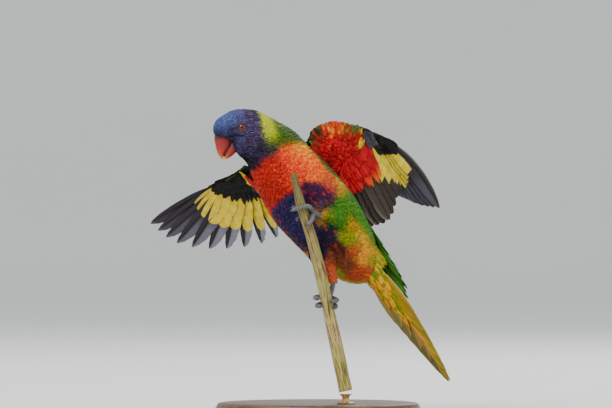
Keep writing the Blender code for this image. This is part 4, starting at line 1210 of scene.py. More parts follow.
# Below, one more row runs just inside each edge, so that the bar's yellow stops there
ACROSS_BELOW = np.concatenate([[0.985], ACROSS[-2:0:-1], [-0.985]])
VANE_ROWS = 64
VANE_THICK = 0.00026
VANE_SAG = 0.035
SPLITS = 6
SPLIT_DEPTHS = (0.03, 0.16)
SPLIT_WIDTH = 0.007
SHAFT_WIDTH = 0.0006
SHAFT_THICK = 0.0013
# Where the yellow bar ends along each feather, from the tenth primary to the tenth secondary, in millimetres
BAR_ENDS = {
    "left": (58, 67, 76, 83, 86, 86, 83, 79, 75, 70, 58, 48, 40, 0, 0, 0, 0, 0, 0, 0),
    "right": (51, 58, 63, 68, 72, 73, 73, 73, 71, 70, 66, 58, 48, 38, 0, 0, 0, 0, 0, 0),
}
WING_PAINT = {
    "quill": (0.030, 0.024, 0.030), "quill pale": (0.185, 0.175, 0.230), "quill brown": (0.036, 0.027, 0.022),
    "quill end": (0.190, 0.165, 0.130), "edge pale": (0.420, 0.380, 0.320),
    "green web": (0.016, 0.090, 0.016), "black web": (0.010, 0.009, 0.010),
    "covert black": (0.008, 0.006, 0.006), "covert grey": (0.062, 0.055, 0.068),
    "covert brown": (0.030, 0.020, 0.018), "wing red": (0.440, 0.006, 0.010),
    # The deepest red is painted shadow, given to some of the loose red coverts and to most of those under the
    # arm next to the body
    "wing deep red": (0.250, 0.004, 0.007), "wing orange": (0.800, 0.120, 0.010),
    "wing yellow": (0.820, 0.480, 0.012), "wing amber": (0.330, 0.130, 0.012),
    "wing green": (0.024, 0.105, 0.014), "wing dark green": (0.010, 0.034, 0.010),
    "back green": (0.042, 0.165, 0.016),
}


def flight_lies(wing):
    """Root, direction, back-facing axis, length and bow of each flight feather, outermost primary first.

    Primaries root along the hand from its end to the wrist, secondaries along the line from wrist to elbow,
    and directions, lengths and bows are the smooth curves through the wing's own.
    """
    share = np.linspace(1, 0, PRIMARIES)
    wrist, elbow = np.array(wing["wrist"]), np.array(wing["elbow"])
    roots = wrist + unit(np.array(wing["hand"])) * HAND_LENGTH * share[:, None]
    along = curve_through(wing["primaries"], share * 3)
    back = np.repeat(np.array(wing["back_hand"])[None], PRIMARIES, 0)
    length, bow = curve_through(PRIMARY_LENGTHS, share * 3), curve_through(wing["bow"], share * 3)
    share = np.linspace(0, 1, SECONDARIES)
    roots = np.concatenate([roots, wrist + (elbow - wrist) * (0.08 + 0.92 * share[:, None])])
    along = unit(np.concatenate([along, curve_through(wing["secondaries"], share * 3)]))
    blend = np.minimum(1, 0.3 + 1.4 * share)[:, None]
    back = np.concatenate([back, (1 - blend) * np.array(wing["back_hand"])
                           + blend * np.array(wing["back_arm"])])
    length = np.concatenate([length, curve_through(SECONDARY_LENGTHS, share * 3)])
    return roots, along, square_to(back, along), length, np.concatenate([bow, np.zeros(SECONDARIES)])


def smooth_steps(knots, column, at):
    """From one knot to the next by 0.45x + 0.55·(3x² - 2x³), x being the share of the way."""
    knots = np.asarray(knots, float)
    i = np.clip(np.searchsorted(knots[:, 0], at, side="right") - 1, 0, len(knots) - 2)
    x = np.clip((at - knots[i, 0]) / (knots[i + 1, 0] - knots[i, 0]), 0, 1)
    eased = 0.45 * x + 0.55 * (3 * x**2 - 2 * x**3)
    return knots[i, column] + (knots[i + 1, column] - knots[i, column]) * eased


def quill(outline, root, along, back, outer, length, width, start, lift, droop, bow, draw):
    """Rings round one quill and its two vanes, with the place of every point along and across it.

    Middle line: root + along·r + outer·bow·length·4w(1 - w) + back·(lift - droop·length·w²), w = r / length.
    A point t across stands at outer·t·half width and is lower by the sag·width·|t|^1.5, and the vane is thick
    at the shaft and thin at its edges. Small splits are cut into the trailing vane.
    """
    s = np.linspace(0, 1, VANE_ROWS) ** 0.92
    reach = start + (length - start) * s
    w = reach / length
    middle = root + along * reach[:, None] + outer * (bow * length * 4 * w * (1 - w))[:, None]
    middle = middle + back * (lift[0] * (1 - s) + lift[1] * s - droop * length * w * w)[:, None]
    lead, trail = smooth_steps(outline, 1, s) * width, smooth_steps(outline, 2, s) * width
    for cut in draw.uniform(0.3, 0.97, SPLITS):
        trail = trail * (1 - draw.uniform(*SPLIT_DEPTHS) * np.exp(-(((s - cut) / SPLIT_WIDTH) ** 2)))
    trail = trail * (1 + 0.012 * draw.normal(size=VANE_ROWS))
    t = np.concatenate([ACROSS, ACROSS_BELOW])
    over = np.concatenate([np.ones(len(ACROSS)), -np.ones(len(ACROSS_BELOW))])
    over[[0, len(ACROSS) - 1]] = 0
    half = np.where(t[None] > 0, lead[:, None], trail[:, None])
    shaft = SHAFT_THICK * (1 - 0.8 * s)[:, None] * np.exp(-((half * t[None] / SHAFT_WIDTH) ** 2))
    thick = (VANE_THICK * (1 - 0.6 * np.abs(t)))[None] + shaft
    height = over[None] * thick / 2 - VANE_SAG * width * np.abs(t[None]) ** 1.5
    rings = middle[:, None] + outer * (half * t[None])[..., None] + back * height[..., None]
    flat = np.zeros((VANE_ROWS, 1))
    return rings, reach[:, None] + 0 * half, half * t[None], t + flat, over + flat


def blended(tree, share, a, b):
    """Colour a where share is 0 and b where it is 1."""
    return add_node(tree, "ShaderNodeMix", {0: share, 6: a, 7: b}, data_type="RGBA").outputs[2]


def quill_material():
    """Dark vane of the painted colour with slanting barbs, and a yellow bar where its number is above 0."""
    made = feather_material("flight feather", 4.2, 0.55, 0.0)
    tree = made.node_tree
    base = tree.nodes["Principled BSDF"].inputs["Base Color"]
    ground = base.links[0].from_socket
    barb = next(node for node in tree.nodes if node.bl_idname == "ShaderNodeTexWave").outputs[1]
    place = add_node(tree, "ShaderNodeTexCoord").outputs["Object"]
    frayed = reckoned(tree, "MULTIPLY_ADD", noise(tree, place, 900.0, 2.0), 2.4, stored(tree, "bar"))
    inside = add_node(tree, "ShaderNodeMapRange", {"Value": frayed, "From Min": 0.9,
                                                   "From Max": 1.6}).outputs[0]
    yellow = ramp(tree, noise(tree, place, 160.0, 2.0), (0.35, (0.62, 0.42, 0.012)),
                  (0.7, (0.76, 0.60, 0.045)))
    tree.links.new(blended(tree, inside, ground, tinted(tree, yellow, barb, 0.84, 1.06)), base)
    return made


FLIGHT_FEATHER = quill_material()


def corner_points(obj):
    """The number of the point at each corner."""
    corners = np.empty(len(obj.data.loops), np.int32)
    obj.data.loops.foreach_get("vertex_index", corners)
    return corners


def spread_out(values):
    """values less the least of them, as shares of their span."""
    return (values - values.min()) / max(np.ptp(values), 1e-6)


def quill_object(name, made):
    """Quills in one mesh. made holds each one's rings, colours, bar number and vane map, ring by ring.

    Its OFBake map gives every quill an upright strip of its own.
    """
    obj = body_object(name, [closed_tube(rings) for rings, *_ in made], FLIGHT_FEATHER)
    colours, numbers, vane = (np.concatenate([closed_ends(row[k]) for row in made]) for k in (1, 2, 3))
    paint_points(obj, "plumage", colours)
    number_points(obj, "bar", numbers)
    strips = []
    for k, (rings, _, _, uv) in enumerate(made):
        across, along = spread_out(uv[..., 0]), spread_out(uv[..., 1])
        under = np.arange(rings.shape[1])[None] >= len(ACROSS)
        side = np.where(under, 0.47 * (1 - across) + 0.50, 0.47 * across)
        strips.append(closed_ends(np.stack([(k + 0.02 + side) / len(made), 0.01 + 0.98 * along], -1)))
    corners = corner_points(obj)
    for title, uv in (("OFBake", np.concatenate(strips)), ("vane", vane)):
        corner_map(obj, title, uv[corners])
    return obj


def rolled(back, outer, turn):
    """The two axes turned about the shaft, the leading edge going to the back of the wing."""
    return back * math.cos(turn) - outer * math.sin(turn), outer * math.cos(turn) + back * math.sin(turn)


def mixed(a, b, share):
    """a where share is 0, b where it is 1."""
    share = np.clip(share, 0, 1)[..., None]
    return np.asarray(a) * (1 - share) + np.asarray(b) * share


def flight_colours(side, index, reach, t, over, length, draw):
    """Green and black above. Dark below, paler on the trailing vane's end, and the yellow bar's number."""
    share = reach / length
    primary = index < PRIMARIES
    web = mixed(WING_PAINT["black web"], WING_PAINT["green web" if primary else "back green"],
                (t + 0.1) * 6 if primary else np.full_like(t, 1.0) - 0.8 * (t < -0.5))
    web = mixed(web, WING_PAINT["black web"], (share - 0.6) * 3 if primary else (share - 0.9) * 6)
    slate = np.clip(-t * 5 - 0.6, 0, 1) * np.clip(share * 5 - 2.6, 0, 1)
    slate = slate * (0.22 * primary if side == "left" else (0.12, 0.18, 0.28, 0.45, 0.75, 1.0)[min(index, 5)])
    ground = mixed(WING_PAINT["quill" if primary else "quill brown"], WING_PAINT["quill pale"], slate)
    if side == "left" and not primary:
        ground = mixed(ground, WING_PAINT["quill end"],
                       (share - 0.62) * 2.2 * draw.uniform(0.3, 1.0) + (-t - 0.85))
    ground = mixed(ground, WING_PAINT["quill end"], (share - 0.95) * 8 * (side == "right"))
    if index == 0 and side == "left":
        ground = mixed(ground, WING_PAINT["edge pale"],
                       np.clip((t - 0.70) * 6, 0, 1) * np.clip(1.5 - share * 1.3, 0, 1))
    ground = ground * np.where(np.abs(t) < 0.08, 0.45, 1.0)[..., None]
    colour = np.where((over >= 0)[..., None], web, ground)
    colour = colour * math.exp(draw.normal(0, 0.08 if primary else 0.25))
    end = BAR_ENDS[side][index]
    # On the right wing the bars end round on the trailing vanes, on the left they run together
    round_end = 7.0 * ((t + 0.35) / 0.65) ** 2
    stop = end - (round_end if side == "right" else 2.5 * np.abs(t))
    first = 8.0 if side == "right" or index > 2 else (22.0, 24.0, 24.0)[index] + 24.0 * np.clip(t * 3, 0, 1)
    number = np.where((over < 0) & (end > 0), np.minimum(reach / MM - first, stop - reach / MM), NO_BAR)
    if index < 2 and (side == "left" or index == 0):
        number = np.where(t > (-0.15 if index == 0 else 0.1), NO_BAR, number)
    return colour, number


def make_flight_feathers():
    for side, wing in WINGS.items():
        draw = np.random.default_rng(41 if side == "left" else 43)
        roots, along, back, length, bow = flight_lies(wing)
        made = {"primaries_" + side: [], "secondaries_" + side: []}
        for index in range(QUILLS):
            outer = np.cross(along[index], back[index]) * wing["lead"]
            axis, outer = rolled(back[index], outer, wing["roll"])
            kind, outline, width = (("primaries_", PRIMARY_OUTLINE, PRIMARY_WIDTH) if index < PRIMARIES else
                                    ("secondaries_", SECONDARY_OUTLINE, SECONDARY_WIDTH))
            step = -FEATHER_STEP * (PRIMARIES - index)
            rings, reach, aside, t, over = quill(outline, roots[index], along[index], axis, outer,
                                                 length[index], width, -ROOT_SUNK,
                                                 (step * 0.6, step * 1.6), DROOP, bow[index], draw)
            colour, number = flight_colours(side, index, reach, t, over, length[index], draw)
            made[kind + side].append((rings, colour, number,
                                      np.stack([0.5 + aside / 0.02, reach / 0.02], -1)))
        for name, quills in made.items():
            piece = quill_object(name, quills)
            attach(piece, "root")
            if name.startswith("primaries"):
                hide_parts("wing_" + side)


make_flight_feathers()

# The wing coverts
# Tiers of soft feathers that cover the quills' roots above and below, longest on the quills and ever
# shorter over the arm to the leading edge. Below they are red on the arm and black on the hand.

COVERT_VANE = vane_outline((0.0, 0.25, 0.50, 0.74, 0.90, 1.0), (0.30, 0.78, 0.98, 1.0, 0.92, 0.58), 7, 0.17,
                           0.025)
# For each tier below: number of feathers, from which to which quill, root along the quills, height of root
# and tip off them, width, and how far the tips reach at given quills, in millimetres
UNDER_TIERS = {
    "left": (
        (34, 0.0, 19.2, -2.0, 3.2, 2.9, 8.0,
         ((0, 24), (1, 30), (3, 35), (6, 34), (8.2, 27), (9.2, 20), (9.9, 20), (10.2, 44), (12.2, 43),
          (14, 36), (16, 29), (19, 19))),
        (32, 0.6, 19.3, -4.0, 4.1, 3.6, 8.0,
         ((0, 16), (4, 20), (8, 19), (9.3, 12), (10.0, 12), (10.4, 31), (12, 30), (14, 25), (19, 13))),
        (30, 2.0, 19.4, -7.0, 4.8, 4.2, 7.5,
         ((0, 10), (4, 11), (8, 10), (9.6, 6), (10.2, 8), (10.6, 19), (14, 15), (19, 8))),
        (7, 6.2, 9.8, -4.0, 5.9, 5.6, 7.0, ((6, 14), (8, 17), (9.8, 17))),
    ),
    "right": (
        (30, 0.0, 19.2, -2.0, 3.2, 2.9, 8.0,
         ((0, 22), (2, 27), (4, 31), (7, 36), (9, 34), (11, 28), (19, 30))),
        (28, 0.4, 19.3, -4.0, 4.1, 3.6, 8.0, ((0, 14), (4, 20), (9, 20), (19, 22))),
        (26, 1.0, 19.4, -7.0, 4.8, 4.2, 7.5, ((0, 8), (4, 10), (9, 10), (19, 13))),
    ),
}
UPPER_TIERS = (
    (30, 0.0, 19.2, -2.0, 2.4, 2.0, 6.8, ((0, 34), (9, 36), (19, 32))),
    (28, 0.3, 19.3, -4.0, 3.2, 2.6, 6.6, ((0, 22), (9, 24), (19, 23))),
    (26, 0.6, 19.4, -7.0, 4.0, 3.2, 6.0, ((0, 12), (9, 13), (19, 14))),
)
# Colours of the tiers below by quill: last quill of the run, then the colour of each tier, the longest first
UNDER_COLOURS = {
    "left": ((3.2, ("covert black", "covert black", "covert black")),
             (8.9, ("covert black", "covert brown", "covert brown", "covert grey")),
             (10.1, ("wing amber", "wing amber", "wing yellow", "covert grey")),
             (20.0, ("wing red", "wing red", "wing red"))),
    "right": ((9.0, ("covert black", "covert black", "covert black")),
              (10.4, ("covert black", "covert brown", "wing yellow")),
              (12.4, ("covert brown", "wing amber", "wing red")),
              (20.0, ("wing red", "wing red", "wing red"))),
}
ARM_MARK_EDGE = 0.06
# Lengths and widths of the arm's feathers at its leading edge and behind it, in millimetres
ARM_LENGTHS = (7.0, 13.5)
ARM_WIDTHS = (4.6, 7.6)
LEADING_EDGE = 180
# Degrees round the arm between which feathers cover it
ARM_COVERED = (40, 325)
# The markings of the arm, at places along it and degrees round it, 180 at the leading edge and 270 below
ARM_MARKS = {
    "left": {
        ("wing dark green", "wing green", 0.3): ((0.2, 205),),
        ("wing dark green", "wing red", 0.2): ((1.0, 200),),
        ("wing orange", "wing yellow", 0.3): ((1.6, 190),),
        ("wing orange", "wing yellow", 0.2): ((2.2, 190),),
        ("wing red", "wing orange", 0.2): ((1.6, 207), (2.2, 207)),
        ("wing green", "wing orange", 0.4): ((2.8, 200),),
        ("wing green", "back green", 0.3): ((3.3, 190),),
        ("wing green", "wing dark green", 0.3): ((3.9, 195),),
        ("wing red", "wing green", 0.3): ((2.7, 214),),
        ("wing green", "wing red", 0.2): ((3.2, 226),),
        ("wing yellow", "wing orange", 0.1): ((3.65, 250),),
        ("wing yellow", "wing orange", 0.2): ((3.6, 285),),
        # Coverts in the deepest red are painted shadow among the loose red feathers
        ("wing red", "wing deep red", 0.2):
            ((0.6, 235), (2.4, 236), (1.6, 280), (2.6, 280), (1.6, 330), (3.0, 330)),
        ("wing red", "wing orange", 0.1): ((1.6, 225),),
        ("wing red", "wing deep red", 0.1): ((3.1, 250),),
        ("wing deep red", "wing red", 0.4): ((0.6, 290),),
    },
    "right": {
        ("wing dark green", "wing green", 0.4): ((0.4, 190),),
        ("wing dark green", "covert black", 0.4): ((1.4, 190),),
        ("covert black", "wing dark green", 0.3): ((2.2, 178),),
        ("covert black", "wing dark green", 0.2): ((3.2, 174), (2.3, 205)),
        ("covert black", "covert black", 0.2): ((3.9, 174),),
        ("wing yellow", "wing green", 0.2): ((0.9, 214),),
        ("wing yellow", "wing amber", 0.3): ((2.0, 232),),
        ("covert black", "covert grey", 0.2): ((3.3, 240),),
        ("wing red", "wing orange", 0.2): ((1.3, 230), (2.4, 262)),
        ("wing amber", "covert black", 0.3): ((3.2, 290),),
        ("wing red", "wing deep red", 0.2): ((1.0, 290),),
        ("wing amber", "wing red", 0.3): ((2.2, 320),),
        ("covert black", "covert black", 0.3): ((3.8, 230),),
    },
}
ARM_MARKS_ABOVE = {
    ("wing green", "wing dark green", 0.3): ((0.5, 160), (1.7, 162), (2.6, 162), (3.6, 162)),
    ("back green", "wing green", 0.3): ((0.5, 125), (2.0, 125), (3.5, 125)),
    ("back green", "mantle", 0.3): ((0.8, 70), (2.0, 60)),
    ("wing green", "back green", 0.3): ((3.5, 60),),
}


def lay_on_quills(wing, over, turn, start, length, width, heights, cup, outline, ragged, draw):
    """Points of feathers along a wing's quills, above them (over 1) or below (-1), turn being the quill.

    A point s along and t across stands at root + way·reach + side·t·half width, and off the quills' own sheet
    by over·(root height + (tip height - root height)·s - cup·t²). Way, bow and droop are the quills'.
    """
    roots, along, back, whole, bow = flight_lies(wing)
    low = np.clip(np.floor(turn).astype(int), 0, len(roots) - 2)
    share = (turn - low)[:, None]

    def between(rows):
        rows = rows.reshape(len(rows), -1)
        return rows[low] * (1 - share) + rows[low + 1] * share

    way = unit(between(along))
    axis = square_to(between(back), way)
    lead = np.cross(way, axis) * wing["lead"]
    axis = unit(axis * math.cos(wing["roll"] * 0.9) - lead * math.sin(wing["roll"] * 0.9))
    way = unit(way + np.cross(way, axis) * draw.normal(0, 0.05, (len(turn), 1)))
    side = np.cross(over * axis, way)
    outer = np.cross(way, axis) * wing["lead"]
    s, t, _, columns = outline
    s = np.repeat(s[None], len(turn), 0)
    s[:, -columns:] += ragged[:, None] * draw.normal(size=(len(turn), columns))
    reach = start[:, None] + s * length[:, None]
    w = reach / between(whole)
    bowed = between(bow) * between(whole) * 4 * w * (1 - w)
    off = over * (heights[0][:, None] * (1 - s) + heights[1][:, None] * s - cup[:, None] * t[None] ** 2)
    off = off - FEATHER_STEP * (PRIMARIES - turn[:, None]) * (0.6 + w) - DROOP * between(whole) * w * w
    off = off + draw.normal(0, 0.08, (len(turn), 1)) * MM * t[None]
    return (between(roots)[:, None] + way[:, None] * reach[..., None] + outer[:, None] * bowed[..., None]
            + side[:, None] * (t[None] * width[:, None] / 2)[..., None] + axis[:, None] * off[..., None])


def tip_fade(colours, outline, tip, share):
    """colours, going over to tip on the last part of the feathers, by share for each."""
    s = outline[0]
    fade = np.clip((s - 0.72) * 5, 0, 1)[None, :, None] * share[:, None, None]
    return colours * (1 - fade) + np.asarray(tip) * fade


COVERT_FEATHER = feather_material("wing covert", 5.5, 0.6, 0.0)


def make_quill_coverts():
    for side, wing in WINGS.items():
        draw = np.random.default_rng(51 if side == "left" else 53)
        for over, name, tiers in ((-1, "under_coverts_", UNDER_TIERS[side]),
                                  (1, "upper_coverts_", UPPER_TIERS)):
            coats, paints, unwraps = [], [], []
            for tier, (count, first, last, root_at, root_up, tip_up, wide, reaches) in enumerate(tiers):
                turn = np.linspace(first, last, count) + draw.uniform(-0.12, 0.12, count)
                start = (root_at + draw.uniform(-0.8, 0.8, count)) * MM
                tips = np.interp(turn, *np.array(reaches, float).T) * MM
                length = (tips - start) * draw.uniform(0.94, 1.04, count)
                width = np.minimum(wide * MM, length * 0.6) * draw.uniform(0.9, 1.1, count)
                heights = (np.full(count, root_up * MM),
                           np.full(count, tip_up * MM) + draw.normal(0, 0.12, count) * MM)
                coats.append(lay_on_quills(wing, over, turn, start, length, width, heights, width * 0.06,
                                           COVERT_VANE, np.full(count, 0.012), draw))
                if over > 0:
                    edge = "covert black" if side == "right" else "wing dark green"
                    names = [edge if q < 7 else "wing green" if q < PRIMARIES else "back green" for q in turn]
                else:
                    names = [next(row[tier] for end, row in UNDER_COLOURS[side] if q <= end) for q in turn]
                base = np.array([WING_PAINT[name] for name in names])
                base = base * np.exp(draw.normal(0, 0.12, (count, 1)))
                paint = shaded(base[:, None], COVERT_VANE, 0.7, 1.3, 1.0, 0.15)
                if over < 0 and side == "left" and tier == 0:
                    warm = np.interp(turn, (10.0, 10.3, 12.4, 14.0), (0.0, 1.0, 0.9, 0.0))
                    paint = tip_fade(paint, COVERT_VANE, WING_PAINT["wing orange"], warm)
                paints.append(paint)
                unwraps.append(np.stack([turn / QUILLS, 0.25 + 0.25 * tier + 0 * turn], -1))
            piece = feather_object(name + side, np.concatenate(coats), COVERT_VANE, np.concatenate(paints),
                                   np.concatenate(unwraps), COVERT_FEATHER)
            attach(piece, "root")


make_quill_coverts()


def paint_by_marks(places, marks, surface, draw, spread):
    """A colour for each place: its nearest mark's on the surface, or that mark's stray colour by share."""
    rows = rows_of(marks)
    main, stray, share = nearest(places, mark_places(rows, surface), ARM_MARK_EDGE,
                                 mark_looks(rows, {**PAINT, **WING_PAINT}))
    chosen = np.where((draw.random(len(places)) < share)[:, None], stray, main)
    return chosen * np.exp(draw.normal(0, spread, (len(places), 1)))


def make_arm_coverts():
    for side, wing in WINGS.items():
        draw = np.random.default_rng(61 if side == "left" else 63)
        surface = arm_surface(wing)
        at, turn = rows_of_roots(surface, 0.0, 4.05, lambda u: (2.7 - 0.15 * u) * MM, draw)
        turn = turn % (2 * math.pi)
        degrees = np.degrees(turn)
        place, _, _, out = surface_axes(surface, at, turn)
        # From the leading edge each feather points back across the arm and a little out to the hand
        front, rear = curve_through(wing["edge"], at), curve_through(wing["rear"], at)
        quills = unit(curve_through(flight_lies(wing)[1], np.clip(19 - 2.2 * at, 9, 19)))
        lie = unit(unit(rear - front) * 0.75 + quills * 0.65)
        lie = square_to(lie + draw.normal(0, 0.10, lie.shape), out)
        small = np.clip(np.abs(degrees - LEADING_EDGE) / 60, 0, 1)
        # They are short along the leading edge and longer behind it
        lead = np.clip(1 - np.abs(degrees - LEADING_EDGE - 6) / 26, 0, 1)
        length = np.interp(small, (0, 1), ARM_LENGTHS) * (1 - 0.62 * lead) * MM
        length = length * draw.uniform(0.85, 1.15, len(at))
        width = np.interp(small, (0, 1), ARM_WIDTHS) * (1 - 0.40 * lead) * MM
        width = width * draw.uniform(0.85, 1.15, len(at))
        tips = draw.normal(0.15, 0.12, len(at)) * MM
        keep = (degrees > ARM_COVERED[0]) & (degrees < ARM_COVERED[1])
        rows = (place, at, turn, lie, length, width, tips)
        place, at, turn, lie, length, width, tips = (values[keep] for values in rows)
        heights = (np.full(len(at), -1.4 * MM), tips)
        points = lay_feathers(surface, at, turn, lie, length, width, heights, width * 0.10, BODY_VANE,
                              np.full(len(at), 0.04), draw)
        ends = place + lie * length[:, None] * 0.6
        base = np.where((np.degrees(turn) > LEADING_EDGE - 3)[:, None],
                        paint_by_marks(ends, ARM_MARKS[side], surface, draw, 0.09),
                        paint_by_marks(ends, ARM_MARKS_ABOVE, surface, draw, 0.09))
        colours = shaded(base[:, None], BODY_VANE, 0.62, 1.0, 1.0, 0.14)
        piece = feather_object("arm_coverts_" + side, points, BODY_VANE, colours,
                               np.stack([turn / (2 * math.pi), at / 4], -1), COVERT_FEATHER)
        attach(piece, "root")


make_arm_coverts()

# The tail
# Twelve stiff feathers in six pairs, the middle pair longest, that stack from the outermost below to the
# middle pair on top. Tiers of soft coverts hide their roots, green above and yellow with green spots below.

TAIL_ALONG = unit(np.array((0.556, 0.0, -0.831)))
TAIL_BACK = square_to(np.array((0.533, 0.766, 0.359)), TAIL_ALONG)
TAIL_LEFT = np.cross(TAIL_ALONG, TAIL_BACK)
TAIL_LENGTHS = (0.115, 0.106, 0.093, 0.080, 0.067, 0.055)
TAIL_SPREAD = {1: 0.0015, -1: 0.0009}
TAIL_FAN = {1: 0.0085, -1: 0.0040}
TAIL_LAYER = 0.0009
TAIL_WIDTH = 0.0118
TAIL_START = 0.003
TAIL_ROLL = -0.10
TAIL_SAG = 0.0030
# How much shorter the outermost coverts of a tier are, in millimetres, and the share that has a green spot
TIER_ROUND = 9.0
SPOTTED = 0.22
TAIL_OUTLINE = (
    (0.0, 0.05, 0.06), (0.06, 0.10, 0.12), (0.16, 0.34, 0.38), (0.45, 0.43, 0.48), (0.65, 0.42, 0.47),
    (0.84, 0.32, 0.38), (0.94, 0.18, 0.22), (0.99, 0.06, 0.07), (1.0, 0.02, 0.02),
)
TAIL_PAINT = {
    "yellow": (0.420, 0.240, 0.005), "pale": (0.420, 0.380, 0.090), "orange": (0.800, 0.250, 0.060),
    "olive": (0.200, 0.150, 0.016), "brown": (0.130, 0.100, 0.034), "green": (0.034, 0.120, 0.014),
    "edge": (0.600, 0.540, 0.250),
}
# Tiers of coverts: how many, root and tip along the tail and off its plane, reach aside, width, in mm
UNDER_TAIL_TIERS = ((7, 6.0, 61.0, 5.0, 3.8, 4.0, 6.5), (9, 2.0, 51.0, 6.6, 4.8, 5.5, 6.5),
                    (10, -2.0, 41.0, 8.0, 5.9, 6.8, 6.5), (12, -6.0, 32.0, 9.4, 7.1, 8.0, 6.0),
                    (13, -10.0, 23.0, 10.9, 8.4, 9.3, 5.5), (14, -15.0, 14.0, 12.6, 10.2, 10.6, 5.5))
UPPER_TAIL_TIERS = ((7, -10.0, 38.0, 9.0, 15.0, 8.5, 7.5), (9, -16.0, 30.0, 10.5, 15.5, 10.5, 7.5),
                    (10, -22.0, 20.0, 12.5, 15.5, 12.5, 7.5), (11, -28.0, 9.0, 15.0, 16.0, 14.5, 7.5),
                    (11, -37.0, -3.0, 16.0, 16.5, 14.0, 7.5), (11, -47.0, -14.0, 16.5, 16.5, 13.0, 7.5))


def tail_colours(pair, sign, share, t, over):
    """Above green with a yellow rim. Below yellow, the left half's end olive and the right half's brown.

    The three middle pairs have an orange streak, all have pale ends, and the left half has pale rims.
    """
    above = mixed(TAIL_PAINT["green"], TAIL_PAINT["yellow"], np.abs(t) * 1.5 - 0.9 + (pair > 2) * 0.5)
    dull = share * 0.9 - 0.15 if sign > 0 else share * 0.7 + 0.40
    below = mixed(TAIL_PAINT["yellow"], TAIL_PAINT["olive" if sign > 0 else "brown"], dull)
    if pair < 3:
        streak = np.clip(1.5 - ((share - 0.55) / 0.25) ** 2, 0, 1) * (1 - 0.8 * np.abs(t))
        below = mixed(below, TAIL_PAINT["orange"], streak)
    below = mixed(below, TAIL_PAINT["pale"], (share - 0.80) * 2.5 + (-t - 0.75) * 1.5)
    if sign > 0:
        below = mixed(below, TAIL_PAINT["edge"], (t - 0.66) * 5)
    below = below * np.where(np.abs(t) < 0.06, 0.6, 1.0)[..., None]
    return np.where((over >= 0)[..., None], above, below)


def tail_sheet(over):
    """The tail's plane: root + along·(at in centimetres) + left·turn·1 cm, less a sag·turn², out off it."""
    root = BODY_STATIONS[0, :3]

    def surface(at, turn, out):
        sag = -TAIL_SAG * turn**2
        return (root + TAIL_ALONG * (at * 0.01)[..., None] + TAIL_LEFT * (turn * 0.01)[..., None]
                + TAIL_BACK * (over * (out + sag))[..., None])

    return surface


def make_tail():
    draw = np.random.default_rng(71)
    start = BODY_STATIONS[0, :3]
    quills = []
    for pair, length in enumerate(TAIL_LENGTHS):
        for sign in (1, -1):
            fan = math.atan2((pair + 0.5) * TAIL_FAN[sign] / 5, TAIL_LENGTHS[0])
            lie = TAIL_ALONG * math.cos(fan) + TAIL_LEFT * sign * math.sin(fan)
            axis, outer = rolled(TAIL_BACK, TAIL_LEFT * sign, TAIL_ROLL)
            root = start + TAIL_LEFT * sign * (pair + 0.5) * TAIL_SPREAD[sign]
            root = root - TAIL_BACK * TAIL_LAYER * (pair + 0.4 * (sign > 0))
            rings, reach, aside, t, over = quill(TAIL_OUTLINE, root, lie, axis, outer, length, TAIL_WIDTH,
                                                 TAIL_START, (0.0, 0.0), 0.0, 0.0, draw)
            colour = tail_colours(pair, sign, reach / length, t, over) * math.exp(draw.normal(0, 0.10))
            uv = np.stack([0.5 + aside / 0.02, reach / 0.02], -1)
            quills.append((rings, colour, np.full(t.shape, NO_BAR), uv))
    tail = quill_object("tail_feathers", quills)
    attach(tail, "root")
    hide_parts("tail")
    for over, name, tiers in ((-1, "tail_coverts_under", UNDER_TAIL_TIERS),
                              (1, "tail_coverts_upper", UPPER_TAIL_TIERS)):
        surface = tail_sheet(over)
        coats, paints, unwraps = [], [], []
        for tier, (count, root_at, tip_at, root_up, tip_up, aside, wide) in enumerate(tiers):
            place = np.linspace(-1, 1, count) + draw.uniform(-0.06, 0.06, count)
            turn = place * aside / 10 * 0.85
            at = (root_at + 3.0 * draw.uniform(-0.5, 0.5, count)) / 10
            length = (tip_at - root_at - TIER_ROUND * np.abs(place)) * MM * draw.uniform(0.93, 1.05, count)
            width = wide * MM * draw.uniform(0.9, 1.1, count)
            lie = TAIL_ALONG + TAIL_LEFT * (place * 0.07 + draw.normal(0, 0.04, count))[:, None]
            heights = (np.full(count, root_up * MM),
                       np.full(count, tip_up * MM) + draw.normal(0, 0.2, count) * MM)
            coats.append(lay_feathers(surface, at, turn, lie, length, width, heights, width * 0.09,
                                      COVERT_VANE, np.full(count, 0.015), draw))
            s, t = COVERT_VANE[:2]
            if over > 0:
                # Painted light: the upper coverts are half again as bright as the rump green, lifted out of
                # the shade they lie in
                base = mixed(PAINT["rump"], PAINT["flank green"], draw.uniform(0.1, 1.0, count)) * 1.5
            else:
                base = mixed(PAINT["vent orange"], PAINT["vent yellow"], draw.uniform(0, 0.5, count))
            varied = base * np.exp(draw.normal(0, 0.15 if over > 0 else 0.10, (count, 1)))
            paint = np.repeat(varied[:, None], len(s), 1)
            if over < 0:
                # Some carry a long green spot round the shaft near the tip
                spot = np.clip(1.8 - ((s - 0.80) / 0.11) ** 2 - (t / 0.5) ** 2, 0, 1)
                spotted = draw.choice([0.0, 1.0], count, p=[1 - SPOTTED, SPOTTED])
                paint = mixed(paint, PAINT["flank green"], spot[None] * spotted[:, None])
            paints.append(shaded(paint, COVERT_VANE, 0.7, 1.4, 1.0, 0.15))
            unwraps.append(np.stack([0.5 + place * 0.4, 0.2 + 0.2 * tier + 0 * place], -1))
        piece = feather_object(name, np.concatenate(coats), COVERT_VANE, np.concatenate(paints),
                               np.concatenate(unwraps), COVERT_FEATHER)
        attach(piece, "root")


make_tail()

# The feet
# Grey scaly feet, two toes before and two behind, closed round the stem. Broad scutes cross the upper
# side of each toe, fine ones cover the shank, and a soft pad lies under every joint.

STEM_Y = -0.045
